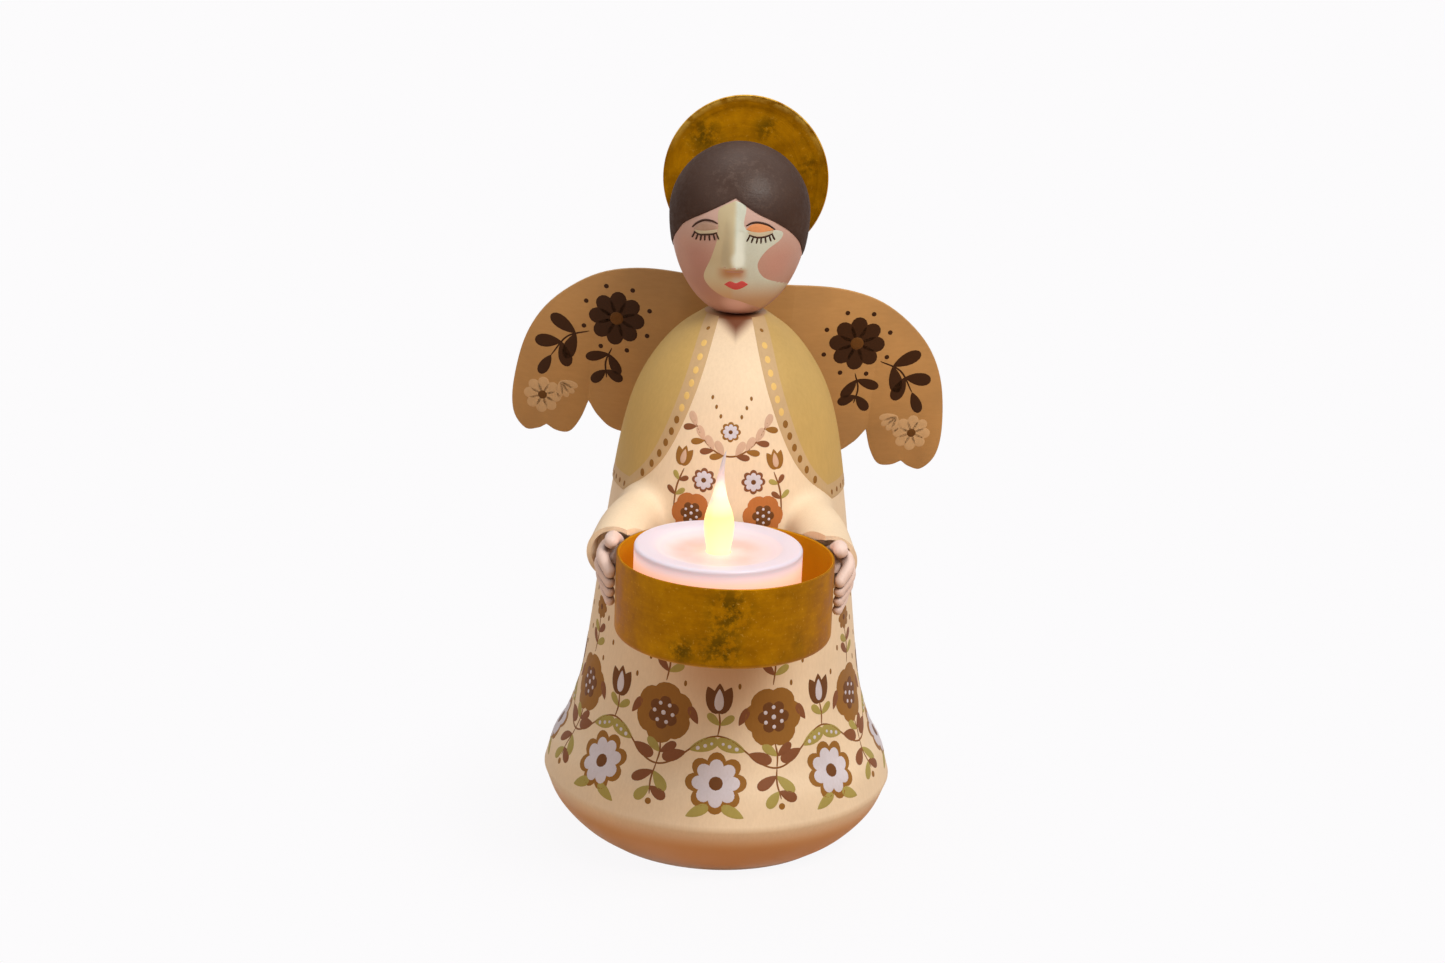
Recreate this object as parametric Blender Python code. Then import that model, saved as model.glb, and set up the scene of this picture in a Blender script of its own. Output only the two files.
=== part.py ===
"""A cast angel figurine that holds a battery tea light in a sheet-metal dish.

The frame: metres, +Z up, the origin on the floor at the gown's axis, and the angel looks along -Y.
The gown, head and hands are castings. The wings, halo and dish are sheet metal.
"""

import math

import bmesh
import bpy
from mathutils import Matrix, Vector

MM = 0.001

# Clearances
FIT = 0.3 * MM            # gap between pieces that touch
RUN = 0.4 * MM            # gap round a piece that slides
SEAM = 0.002 * MM         # points closer than this are one point

# Gown: a turned bell form, cast solid
FOOT_RADIUS = 30.0 * MM
HEM_RADIUS = 43.0 * MM
HEM_HEIGHT = 15.9 * MM
SKIRT_RADIUS = 34.0 * MM
SKIRT_HEIGHT = 42.0 * MM
WAIST_RADIUS = 29.6 * MM
WAIST_HEIGHT = 78.0 * MM
CHEST_RADIUS = 26.9 * MM
CHEST_HEIGHT = 97.0 * MM
SHOULDER_RADIUS = 17.8 * MM
SHOULDER_HEIGHT = 122.5 * MM
NECK_RADIUS = 7.3 * MM
NECK_HEIGHT = 132.0 * MM

# Mantle: the painted cape, standing a little proud of the gown
MANTLE_PROUD = 0.3 * MM
MANTLE_LOW = 89.5 * MM    # height of its lower edge
MANTLE_NECK_GAP = 3.6 * MM  # half the opening at the neck
MANTLE_LOW_GAP = 25.0 * MM  # half the opening at the lower edge

# Head: an egg with a carved nose and a raised cap of hair, turned a little to its right
HEAD_RADIUS = 16.4 * MM
CROWN_HEIGHT = 16.3 * MM  # from the widest circle up to the crown
CHIN_DEPTH = 24.9 * MM    # from the widest circle down to the tip of the egg
HEAD_REST = 23.4 * MM     # from the widest circle down to the flat under the head
HEAD_TURN = -4.0          # degrees about the vertical
HAIR_PROUD = 0.3 * MM
HAIR_PEAK = 6.0 * MM      # from the widest circle up to the parting
HAIR_TEMPLE = -4.0 * MM   # from the widest circle to where the hairline meets the side
HAIR_BACK = 3.5 * MM      # the hair covers all that lies further back than this
HAIR_NAPE = -15.0 * MM    # from the widest circle down to the hair's lower end
NOSE_LENGTH = 11.5 * MM
NOSE_WIDTH = 5.0 * MM
NOSE_PROUD = 2.2 * MM
NOSE_TIP = -10.3 * MM     # from the widest circle to the underside of the nose
PEG_RADIUS = 3.0 * MM
PEG_LENGTH = 9.0 * MM

# Halo: a shallow sheet-metal disc on a nail behind the head
HALO_RADIUS = 20.0 * MM
HALO_SHEET = 0.8 * MM
HALO_DISHING = 1.0 * MM
HALO_RISE = 5.2 * MM      # from the head's widest circle up to the disc's centre
HALO_LEAN = 5.0           # degrees, the top leaning back
HEAD_FLAT = 1.3 * MM      # depth of the flat seat cut at the back of the head

# Wings: one sheet cut as a pair, screwed to a flat seat on the back
WING_SHEET = 0.9 * MM
WING_SPAN = 54.4 * MM     # from the middle to a tip
WING_TOP = 135.8 * MM
WING_LOW = 90.4 * MM      # the middle's lower edge, which stands in the seat
WING_LOBE = 87.7 * MM     # the lower edge of the outer lobe
WING_WEB = 13.0 * MM      # half width of the flat middle
WING_SWEEP = 10.0         # degrees that each wing bends back
WING_ROLL = 3.8           # degrees that the pair hangs out of level
WING_PIVOT = 112.0 * MM   # height about which it hangs out of level
WING_SEAT = 21.4 * MM     # from the gown's axis back to the flat seat, at the pivot's height
WING_LEAN = 7.0           # degrees that the flat seat leans, top forward
WING_SCREW_SPACING = 14.0 * MM
WING_SCREW_DROP = 8.0 * MM  # from the pivot down to the screws

# Sleeves and hands
SLEEVE_ROOT_RADIUS = 8.0 * MM
CUFF_RADIUS = 6.6 * MM
CUFF_OUT_LEFT = 0.8 * MM  # how far the cuff's middle lies outside the dish's edge
CUFF_OUT_RIGHT = -0.9 * MM
CUFF_DROP = 4.4 * MM      # from the dish's rim down to the middle of the cuff's mouth
CUFF_WALL = 0.9 * MM
CUFF_DEPTH = 4.0 * MM
CUFF_BACK = 11.0 * MM     # from the dish's centre back to the cuff's mouth
PALM_RADIUS = 3.6 * MM
PALM_OUT = 2.2 * MM       # how far the palm's middle stands out from the dish
THUMB_RISE = 0.4 * MM     # the thumb's middle above the dish's rim
THUMB_OUT = 1.6 * MM
FINGER_RADIUS = 1.6 * MM
FINGERS = (
    # drop below the rim at knuckle, bend and tip, then how far the bend stands out
    (1.2 * MM, 3.0 * MM, 5.8 * MM, 2.2 * MM),
    (2.2 * MM, 5.2 * MM, 8.3 * MM, 2.8 * MM),
    (3.8 * MM, 7.5 * MM, 10.7 * MM, 2.6 * MM),
    (5.6 * MM, 9.9 * MM, 13.0 * MM, 1.9 * MM),
)
WRIST_RADIUS = 2.4 * MM
WRIST_LENGTH = 9.0 * MM

# Dish: a shallow sheet-metal cup
DISH_HEIGHT = 18.7 * MM
DISH_FLOOR_HEIGHT = 69.7 * MM
DISH_WALL = 0.6 * MM
DISH_FLOOR = 0.8 * MM
DISH_EDGE = 1.6 * MM      # radius of the bend between wall and floor
SADDLE_DEPTH = 0.8 * MM   # how far the dish beds into the gown
DISH_SCREW_RISE = 6.0 * MM  # from the top of the dish's floor up to the screw
CANDLE_SIDE_GAP = 5.0 * MM
CANDLE_SHIFT = -1.7 * MM  # the tea light stands a little to one side

# Screws and nails
SCREW_RADIUS = 1.2 * MM
SCREW_HEAD_RADIUS = 2.4 * MM
SCREW_HEAD_HEIGHT = 1.2 * MM
SCREW_LENGTH = 8.0 * MM
NAIL_RADIUS = 0.8 * MM
NAIL_HEAD_RADIUS = 1.9 * MM
NAIL_HEAD_HEIGHT = 0.7 * MM
NAIL_LENGTH = 7.0 * MM

# Tea light
CANDLE_HEIGHT = 19.9 * MM
CANDLE_WALL = 0.9 * MM
CANDLE_EDGE = 1.5 * MM
POOL_RADIUS = 13.0 * MM
POOL_DEPTH = 1.6 * MM
CELL_RADIUS = 10.0 * MM
CELL_HEIGHT = 3.2 * MM
CELL_EDGE = 0.3 * MM
CONTACT_SHEET = 0.3 * MM
CONTACT_WIDTH = 3.0 * MM
BAY_WALL = 1.2 * MM
BAY_ROOF = 1.2 * MM
BASE_PLATE = 2.0 * MM
BASE_RIM = 0.8 * MM
BOSS_RADIUS = 2.2 * MM
COVER_SHEET = 1.2 * MM
COVER_LIP = 0.25 * MM     # the bay's outside stands this far past the cover's recess
COVER_SCREW_RADIUS = 0.6 * MM
COVER_HEAD_RADIUS = 1.0 * MM
COVER_HEAD_HEIGHT = 0.6 * MM
COVER_SCREW_LENGTH = 3.4 * MM
SWITCH_LENGTH = 8.6 * MM
SWITCH_WIDTH = 4.4 * MM
SWITCH_HEIGHT = 3.4 * MM
SWITCH_WALL = 0.5 * MM
SWITCH_GAP = 0.5 * MM
SWITCH_RIM = 1.3 * MM
SLIDER_LENGTH = 3.6 * MM
SLIDER_HEIGHT = 1.4 * MM
KNOB_LENGTH = 2.0 * MM
KNOB_WIDTH = 1.6 * MM
KNOB_RECESS = 0.4 * MM
SWITCH_TRAVEL = 2.5 * MM
LED_RADIUS = 1.5 * MM
LED_FLANGE = 1.9 * MM
LED_FLANGE_HEIGHT = 0.9 * MM
LED_HEIGHT = 5.3 * MM
LED_LEG = 0.5 * MM
LED_LEG_SPACING = 1.8 * MM
PILLAR_RADIUS = 3.4 * MM
PILLAR_BORE = 1.4 * MM
FLAME_HEIGHT = 23.8 * MM
FLAME_RADIUS = 3.4 * MM
FLAME_FOOT_RADIUS = 2.6 * MM
FLAME_FLANGE = 4.2 * MM
FLAME_FLANGE_HEIGHT = 1.0 * MM
FLAME_BORE = 1.9 * MM
FLAME_CURL = 0.9 * MM     # how far the tip bends to one side

# Facets
FINE_STEPS = 44
MIDDLE_STEPS = 28
COARSE_STEPS = 14
LEAST_STEPS = 8

# Colours: red, green, blue, roughness, metallic
CREAM = (0.86, 0.70, 0.52, 0.6, 0.0)
OLIVE = (0.55, 0.43, 0.19, 0.6, 0.0)
SKIN = (0.62, 0.40, 0.32, 0.55, 0.0)
HAIR = (0.07, 0.04, 0.035, 0.5, 0.0)
GOLD = (0.45, 0.26, 0.02, 0.45, 0.8)
WING_TAN = (0.36, 0.19, 0.06, 0.6, 0.0)
HAND = (0.60, 0.47, 0.42, 0.55, 0.0)
WAX_WHITE = (0.88, 0.84, 0.84, 0.4, 0.0)
FLAME_CREAM = (1.0, 0.93, 0.60, 0.3, 0.0)
STEEL = (0.60, 0.58, 0.55, 0.3, 1.0)
LED_CLEAR = (0.95, 0.80, 0.45, 0.2, 0.0)


# Places that follow from the dimensions

def smooth(points, per_span=4):
    """Points on a Catmull-Rom curve through the given points."""
    ends = [2 * points[0] - points[1], *points, 2 * points[-1] - points[-2]]
    curve = [points[0].copy()]
    for before, start, stop, after in zip(ends, ends[1:], ends[2:], ends[3:]):
        for step in range(1, per_span + 1):
            t = step / per_span
            curve.append(
                0.5 * (2 * start + (stop - before) * t
                       + (2 * before - 5 * start + 4 * stop - after) * t**2
                       + (3 * start - before - 3 * stop + after) * t**3)
            )
    return curve


def between(low, high, share):
    return low + (high - low) * share


def gown_outline():
    """The gown's outside as (radius, height), from the hem up to the neck."""
    points = [
        (HEM_RADIUS, HEM_HEIGHT),
        (between(HEM_RADIUS, SKIRT_RADIUS, 0.22), between(HEM_HEIGHT, SKIRT_HEIGHT, 0.26)),
        (between(HEM_RADIUS, SKIRT_RADIUS, 0.54), between(HEM_HEIGHT, SKIRT_HEIGHT, 0.46)),
        (between(HEM_RADIUS, SKIRT_RADIUS, 0.79), between(HEM_HEIGHT, SKIRT_HEIGHT, 0.70)),
        (SKIRT_RADIUS, SKIRT_HEIGHT),
        (between(SKIRT_RADIUS, WAIST_RADIUS, 0.48), between(SKIRT_HEIGHT, WAIST_HEIGHT, 0.45)),
        (WAIST_RADIUS, WAIST_HEIGHT),
        (CHEST_RADIUS, CHEST_HEIGHT),
        (between(CHEST_RADIUS, SHOULDER_RADIUS, 0.24), between(CHEST_HEIGHT, SHOULDER_HEIGHT, 0.42)),
        (between(CHEST_RADIUS, SHOULDER_RADIUS, 0.55), between(CHEST_HEIGHT, SHOULDER_HEIGHT, 0.73)),
        (SHOULDER_RADIUS, SHOULDER_HEIGHT),
        (between(SHOULDER_RADIUS, NECK_RADIUS, 0.44), between(SHOULDER_HEIGHT, NECK_HEIGHT, 0.55)),
        (NECK_RADIUS, NECK_HEIGHT),
    ]
    return smooth([Vector(point) for point in points], 2)


OUTLINE = gown_outline()


def gown_radius(height):
    """The gown's radius at a height between the hem and the neck."""
    for low, high in zip(OUTLINE, OUTLINE[1:]):
        if low.y <= height <= high.y:
            return between(low.x, high.x, (height - low.y) / (high.y - low.y))
    return NECK_RADIUS


bay_radius = CELL_RADIUS + FIT + CONTACT_SHEET + FIT
bay_outer = bay_radius + BAY_WALL
base_radius = (BASE_RIM + 2 * BOSS_RADIUS + 2 * bay_outer + SWITCH_GAP + SWITCH_WIDTH + SWITCH_RIM) / 2
candle_radius = base_radius + FIT + CANDLE_WALL
dish_radius = candle_radius + CANDLE_SIDE_GAP + DISH_WALL
dish_y = -(gown_radius(DISH_FLOOR_HEIGHT) - SADDLE_DEPTH + FIT + dish_radius)
dish_rim = DISH_FLOOR_HEIGHT + DISH_HEIGHT
head_height = NECK_HEIGHT + 2 * FIT + HEAD_REST
halo_seat = HEAD_RADIUS + HAIR_PROUD - HEAD_FLAT

candle = Vector((CANDLE_SHIFT, dish_y, DISH_FLOOR_HEIGHT + DISH_FLOOR + FIT))
boss_y = -base_radius + BASE_RIM + BOSS_RADIUS
bay_y = boss_y + BOSS_RADIUS + bay_outer
switch_y = bay_y + bay_outer + SWITCH_GAP + SWITCH_WIDTH / 2
cell_low = COVER_SHEET + 2 * FIT
contact_low = cell_low + CELL_HEIGHT + FIT
roof_low = contact_low + CONTACT_SHEET + FIT
roof_top = roof_low + BAY_ROOF
pool_top = CANDLE_HEIGHT - POOL_DEPTH
flange_top = pool_top - CANDLE_WALL - FIT
flange_low = flange_top - FLAME_FLANGE_HEIGHT
led_low = flange_low - FIT - LED_FLANGE_HEIGHT
pillar_top = led_low - FIT


# Mesh tools

def material(name, colour):
    made = bpy.data.materials.new(name)
    made.use_nodes = True
    shader = made.node_tree.nodes["Principled BSDF"]
    shader.inputs["Base Color"].default_value = (*colour[:3], 1.0)
    shader.inputs["Roughness"].default_value = colour[3]
    shader.inputs["Metallic"].default_value = colour[4]
    made.diffuse_color = (*colour[:3], 1.0)
    return made


def make_object(name, bm, colour=None):
    """A named object from a bmesh, with its faces pointing out and smooth shading."""
    bmesh.ops.recalc_face_normals(bm, faces=bm.faces)
    mesh = bpy.data.meshes.new(name)
    bm.to_mesh(mesh)
    bm.free()
    made = bpy.data.objects.new(name, mesh)
    bpy.context.scene.collection.objects.link(made)
    if colour:
        mesh.materials.append(material(name, colour))
    return made


def shade(piece, angle=35.0):
    piece.data.shade_smooth()
    piece.data.set_sharp_from_angle(angle=math.radians(angle))


def revolve(profile, steps=FINE_STEPS):
    """A turned form about Z, from (radius, height) points. Ends off the axis are joined into a ring."""
    bm = bmesh.new()
    verts = [bm.verts.new((point[0], 0.0, point[1])) for point in profile]
    edges = [bm.edges.new(pair) for pair in zip(verts, verts[1:])]
    if min(profile[0][0], profile[-1][0]) > 0.0:
        edges.append(bm.edges.new((verts[-1], verts[0])))
    bmesh.ops.spin(bm, geom=verts + edges, axis=(0, 0, 1), cent=(0, 0, 0),
                   angle=math.tau, steps=steps, use_merge=True, use_duplicate=False)
    bmesh.ops.remove_doubles(bm, verts=bm.verts, dist=SEAM)
    return bm


def cylinder(radius, low, high, steps=COARSE_STEPS):
    return revolve([(0.0, low), (radius, low), (radius, high), (0.0, high)], steps)


def block(low, high):
    """A box between two corners."""
    bm = bmesh.new()
    centre = (Vector(low) + Vector(high)) / 2
    size = Vector(high) - Vector(low)
    bmesh.ops.create_cube(bm, size=1.0, matrix=Matrix.Translation(centre) @ Matrix.Diagonal((*size, 1.0)))
    return bm


def prism(outline, low, high):
    """A closed outline of (x, z) points, extruded along Y."""
    bm = bmesh.new()
    face = bm.faces.new([bm.verts.new((x, low, z)) for x, z in outline])
    grown = bmesh.ops.extrude_face_region(bm, geom=[face])["geom"]
    moved = [g for g in grown if isinstance(g, bmesh.types.BMVert)]
    bmesh.ops.translate(bm, verts=moved, vec=(0.0, high - low, 0.0))
    return bm


def tube(centres, radii, steps):
    """A round bar of changing radius along a path, with closed ends."""
    bm = bmesh.new()
    rings = []
    side = Vector((0, 0, 1))
    for i, (centre, radius) in enumerate(zip(centres, radii)):
        along = (centres[min(i + 1, len(centres) - 1)] - centres[max(i - 1, 0)]).normalized()
        side = (side - along * side.dot(along)).normalized()
        across = along.cross(side)
        turns = [math.tau * k / steps for k in range(steps)]
        spokes = [math.cos(a) * side + math.sin(a) * across for a in turns]
        rings.append([bm.verts.new(centre + radius * spoke) for spoke in spokes])
    for low, high in zip(rings, rings[1:]):
        for k in range(steps):
            bm.faces.new((low[k], low[(k + 1) % steps], high[(k + 1) % steps], high[k]))
    bm.faces.new(rings[0])
    bm.faces.new(rings[-1])
    return bm


def finger(points, radius, steps=8):
    """A tapered bar with a rounded tip along a smooth path."""
    path = smooth(points, 2)
    last = path[-1] - path[-2]
    radii = [between(radius, 0.85 * radius, i / (len(path) - 1)) for i in range(len(path))]
    for share, narrow in ((0.55, 0.86), (0.85, 0.5)):
        path.append(points[-1] + last.normalized() * radius * share)
        radii.append(radius * 0.85 * narrow)
    return tube(path, radii, steps)


def move(bm, place):
    bmesh.ops.transform(bm, matrix=place, verts=bm.verts)
    return bm


def combine(target, bm, operation, paint=None):
    """Joins a shape to an object, or cuts it out of it. The shape may bring its own paint."""
    tool = make_object("tool", bm)
    if target.data.materials:
        tool.data.materials.append(paint or target.data.materials[0])
    change = target.modifiers.new("change", "BOOLEAN")
    change.operation = operation
    change.material_mode = "TRANSFER"
    change.use_self = True
    change.object = tool
    result = bpy.data.meshes.new_from_object(target.evaluated_get(bpy.context.evaluated_depsgraph_get()))
    target.modifiers.clear()
    target.data = result
    tidy = bmesh.new()
    tidy.from_mesh(result)
    bmesh.ops.remove_doubles(tidy, verts=tidy.verts, dist=SEAM)
    bmesh.ops.dissolve_degenerate(tidy, edges=tidy.edges, dist=SEAM)
    tidy.to_mesh(result)
    tidy.free()
    result.name = target.name
    bpy.data.objects.remove(tool)


def add(target, bm, paint=None):
    combine(target, bm, "UNION", paint)


def cut(target, bm):
    combine(target, bm, "DIFFERENCE")


def along_y(bm, place):
    """Turns a shape that was made along +Z so that it points along +Y, and puts it at a place."""
    return move(bm, Matrix.Translation(place) @ Matrix.Rotation(-math.pi / 2, 4, "X"))


# Gown, mantle and sleeves: one casting

def sleeve_path(side):
    """The sleeve's middle line, from inside the shoulder to the cuff's mouth."""
    out = CUFF_OUT_LEFT if side < 0 else CUFF_OUT_RIGHT
    mouth = Vector((side * (dish_radius + out), dish_y + CUFF_BACK, dish_rim - CUFF_DROP))
    root = Vector((side * 0.5 * gown_radius(dish_rim), -0.2 * gown_radius(dish_rim), dish_rim))
    elbow = root.lerp(mouth, 0.5)
    elbow.x = between(root.x, mouth.x, 0.78)
    elbow.z = dish_rim - 0.4 * CUFF_DROP
    return smooth([root, elbow, mouth], 3)


def grown_gown(grow, low):
    """The gown's outside above a height, grown outwards by a given amount."""
    upper = [point for point in OUTLINE if point.y > low]
    start = gown_radius(low)
    profile = [(0.0, low), (start + grow, low), *[(p.x + grow, p.y) for p in upper], (0.0, NECK_HEIGHT)]
    return revolve(profile)


def mantle_edge():
    """The mantle's front edge as (x, z), from the neck out and down to the lower edge."""
    drop = NECK_HEIGHT - MANTLE_LOW
    return smooth([
        Vector((MANTLE_NECK_GAP, NECK_HEIGHT)),
        Vector((between(MANTLE_NECK_GAP, MANTLE_LOW_GAP, 0.23), NECK_HEIGHT - 0.38 * drop)),
        Vector((between(MANTLE_NECK_GAP, MANTLE_LOW_GAP, 0.55), NECK_HEIGHT - 0.74 * drop)),
        Vector((MANTLE_LOW_GAP, MANTLE_LOW)),
    ], 3)


def make_mantle():
    """The mantle: a skin round the shoulders with an opening down the front."""
    mantle = make_object("mantle", grown_gown(MANTLE_PROUD, MANTLE_LOW), OLIVE)
    edge = [tuple(point) for point in mantle_edge()]
    below = MANTLE_LOW - FIT
    above = NECK_HEIGHT + FIT
    opening = [(MANTLE_NECK_GAP, above), *edge, (MANTLE_LOW_GAP, below)]
    opening += [(-x, z) for x, z in reversed(opening)]
    cut(mantle, prism(opening, -2 * HEM_RADIUS, 0.0))
    shape = bmesh.new()
    shape.from_mesh(mantle.data)
    bpy.data.objects.remove(mantle)
    return shape


def make_gown():
    bowl = [
        Vector((FOOT_RADIUS, 0.0)),
        Vector((between(FOOT_RADIUS, HEM_RADIUS, 0.41), 0.24 * HEM_HEIGHT)),
        Vector((between(FOOT_RADIUS, HEM_RADIUS, 0.79), 0.60 * HEM_HEIGHT)),
        Vector((HEM_RADIUS, HEM_HEIGHT)),
    ]
    edge = smooth(bowl, 2)[:-1]
    gown = make_object("gown_body", revolve([(0.0, 0.0), *edge, *OUTLINE, (0.0, NECK_HEIGHT)]), CREAM)
    add(gown, make_mantle(), material("mantle", OLIVE))
    for side in (-1, 1):
        path = sleeve_path(side)
        radii = [between(SLEEVE_ROOT_RADIUS, CUFF_RADIUS, i / (len(path) - 1)) for i in range(len(path))]
        add(gown, tube(path, radii, COARSE_STEPS))
        mouth, inward = path[-1], (path[-2] - path[-1]).normalized()
        hollow = [mouth - inward * CUFF_WALL, mouth + inward * CUFF_DEPTH]
        cut(gown, tube(hollow, [CUFF_RADIUS - CUFF_WALL, CUFF_RADIUS - 2 * CUFF_WALL], COARSE_STEPS))
        socket = [mouth + inward * (CUFF_DEPTH - FIT), mouth + inward * (WRIST_LENGTH + FIT)]
        cut(gown, tube(socket, [WRIST_RADIUS + FIT] * 2, LEAST_STEPS))
    saddle = cylinder(dish_radius + FIT, DISH_FLOOR_HEIGHT - FIT, dish_rim + CHEST_HEIGHT, FINE_STEPS)
    cut(gown, move(saddle, Matrix.Translation((0.0, dish_y, 0.0))))
    cut(gown, cylinder(PEG_RADIUS + FIT, NECK_HEIGHT - PEG_LENGTH - FIT, NECK_HEIGHT + FIT))
    seat_low = (-HEM_RADIUS, 0.0, WING_LOW - FIT - WING_PIVOT)
    seat_high = (HEM_RADIUS, HEM_RADIUS, NECK_HEIGHT - WING_PIVOT)
    seat = block(seat_low, seat_high)
    cut(gown, move(seat, wing_place()))
    for side in (-1, 1):
        hole = cylinder(SCREW_RADIUS + FIT, -SCREW_LENGTH - FIT, FIT, LEAST_STEPS)
        cut(gown, move(along_y(hole, wing_screw_spot(side)), wing_place()))
    hole = cylinder(SCREW_RADIUS + FIT, 0.0, SCREW_LENGTH + dish_radius, LEAST_STEPS)
    cut(gown, along_y(hole, dish_screw_place()))
    shade(gown)
    return gown


# Head, halo and neck peg

def head_place():
    return Matrix.Translation((0.0, 0.0, head_height)) @ Matrix.Rotation(math.radians(HEAD_TURN), 4, "Z")


def egg(grow):
    """The head's egg, grown outwards by a given amount."""
    radius = HEAD_RADIUS + grow
    angles = [math.pi / 2 * k / 8 for k in range(9)]
    upper = [(radius * math.sin(a), (CROWN_HEIGHT + grow) * math.cos(a)) for a in angles]
    lower = [(radius * math.cos(a), -(CHIN_DEPTH + grow) * math.sin(a)) for a in angles[1:]]
    profile = [(0.0 if r < FIT else r, z) for r, z in upper + lower]
    return revolve(profile, MIDDLE_STEPS)


def hairline():
    """The hair's outline seen from the front, from the parting out and down to the temples."""
    wide = HEAD_RADIUS + 4 * HAIR_PROUD
    right = [
        Vector((0.0, HAIR_PEAK)),
        Vector((0.28 * HEAD_RADIUS, between(HAIR_PEAK, HAIR_TEMPLE, 0.28))),
        Vector((0.62 * HEAD_RADIUS, between(HAIR_PEAK, HAIR_TEMPLE, 0.50))),
        Vector((0.88 * HEAD_RADIUS, between(HAIR_PEAK, HAIR_TEMPLE, 0.74))),
        Vector((wide, HAIR_TEMPLE - HAIR_PROUD)),
    ]
    curve = smooth(right, 3)
    left = [Vector((-p.x, p.y)) for p in reversed(curve[1:])]
    top = 2 * CROWN_HEIGHT
    return [*left, *curve, Vector((wide, top)), Vector((-wide, top))]


def make_head():
    hair = make_object("hair", egg(HAIR_PROUD))
    reach = 2 * HEAD_RADIUS
    region = make_object("region", prism([tuple(p) for p in hairline()], -reach, reach))
    add(region, block((-reach, HAIR_BACK, HAIR_NAPE), (reach, reach, 2 * CROWN_HEIGHT)))
    keep = hair.modifiers.new("keep", "BOOLEAN")
    keep.operation = "INTERSECT"
    keep.object = region
    cap = bmesh.new()
    cap.from_object(hair, bpy.context.evaluated_depsgraph_get())
    bpy.data.objects.remove(hair)
    bpy.data.objects.remove(region)

    head = make_object("head", egg(0.0), SKIN)
    add(head, cap, material("hair", HAIR))
    add(head, nose())
    cut(head, block((-reach, -reach, -2 * CHIN_DEPTH), (reach, reach, -HEAD_REST)))
    add(head, cylinder(PEG_RADIUS, -HEAD_REST - 2 * FIT - PEG_LENGTH, -HEAD_REST + PEG_RADIUS))
    cut(head, move(halo_recess(), seat_place()))
    hole = cylinder(NAIL_RADIUS + FIT, -NAIL_LENGTH - FIT, FIT, LEAST_STEPS)
    cut(head, move(along_y(hole, Vector((0.0, 0.0, nail_rise()))), seat_place()))
    shade(head)
    head.matrix_world = head_place()
    return head


def nose():
    """A wedge that grows out of the brow down to a flat underside."""
    low = NOSE_TIP
    high = NOSE_TIP + NOSE_LENGTH
    face = egg_front(low)
    bm = bmesh.new()
    inside = 3 * NOSE_PROUD
    corners = [
        (-NOSE_WIDTH / 2, -face + 0.2 * NOSE_PROUD, low),
        (NOSE_WIDTH / 2, -face + 0.2 * NOSE_PROUD, low),
        (0.32 * NOSE_WIDTH, -face - NOSE_PROUD, low + 0.3 * NOSE_PROUD),
        (-0.32 * NOSE_WIDTH, -face - NOSE_PROUD, low + 0.3 * NOSE_PROUD),
        (-0.26 * NOSE_WIDTH, -egg_front(high) - 0.05 * NOSE_PROUD, high),
        (0.26 * NOSE_WIDTH, -egg_front(high) - 0.05 * NOSE_PROUD, high),
        (-0.3 * NOSE_WIDTH, -egg_front(high) + inside, high),
        (0.3 * NOSE_WIDTH, -egg_front(high) + inside, high),
        (-0.3 * NOSE_WIDTH, -face + inside, low),
        (0.3 * NOSE_WIDTH, -face + inside, low),
    ]
    bmesh.ops.convex_hull(bm, input=[bm.verts.new(c) for c in corners])
    return bm


def egg_front(height):
    """The head's radius at a height above its widest circle."""
    half = CROWN_HEIGHT if height > 0 else CHIN_DEPTH
    return HEAD_RADIUS * math.sqrt(max(0.0, 1.0 - (height / half) ** 2))


def nail_rise():
    """The nail's height above the head's widest circle: the middle of the flat seat."""
    return 0.3 * CROWN_HEIGHT


def halo_front():
    """The disc's front as (radius, height): a flat middle and a rim that stands forward."""
    flat = 0.72 * HALO_RADIUS
    bend = between(flat, HALO_RADIUS, 0.6)
    return [(0.0, 0.0), (flat, 0.0), (bend, -0.35 * HALO_DISHING), (HALO_RADIUS, -HALO_DISHING)]


def halo_recess():
    """What the disc leaves free of the head: all that lies behind its front."""
    reach = HALO_RADIUS + FIT
    profile = [*halo_front()[:-1], (reach, -HALO_DISHING), (reach, HEAD_RADIUS), (0.0, HEAD_RADIUS)]
    return along_y(revolve(profile), Vector((0.0, 0.0, HALO_RISE)))


def make_halo():
    front = halo_front()
    section = [*front, *[(r, z + HALO_SHEET) for r, z in reversed(front)]]
    halo = make_object("halo", along_y(revolve(section), Vector((0.0, 0.0, HALO_RISE))), GOLD)
    hole = cylinder(NAIL_RADIUS + FIT, -2 * HALO_SHEET, 3 * HALO_SHEET, LEAST_STEPS)
    cut(halo, along_y(hole, Vector((0.0, 0.0, nail_rise()))))
    shade(halo)
    halo.matrix_world = halo_place()
    return halo


def seat_place():
    """The frame of the flat seat behind the head, which leans back with the disc."""
    return Matrix.Translation((0.0, halo_seat, 0.0)) @ Matrix.Rotation(math.radians(-HALO_LEAN), 4, "X")


def halo_place():
    """The frame whose Y = 0 plane is the front of the disc's flat middle."""
    return head_place() @ seat_place() @ Matrix.Translation((0.0, FIT, 0.0))


def make_halo_nail():
    seat = Vector((0.0, HALO_SHEET + FIT, nail_rise()))
    nail = make_object("halo_nail", along_y(cylinder(NAIL_HEAD_RADIUS, 0.0, NAIL_HEAD_HEIGHT), seat), STEEL)
    shank = cylinder(NAIL_RADIUS, -NAIL_LENGTH, 0.5 * NAIL_HEAD_HEIGHT, LEAST_STEPS)
    add(nail, along_y(shank, seat))
    shade(nail)
    nail.matrix_world = halo_place()
    return nail


# Wings

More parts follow.
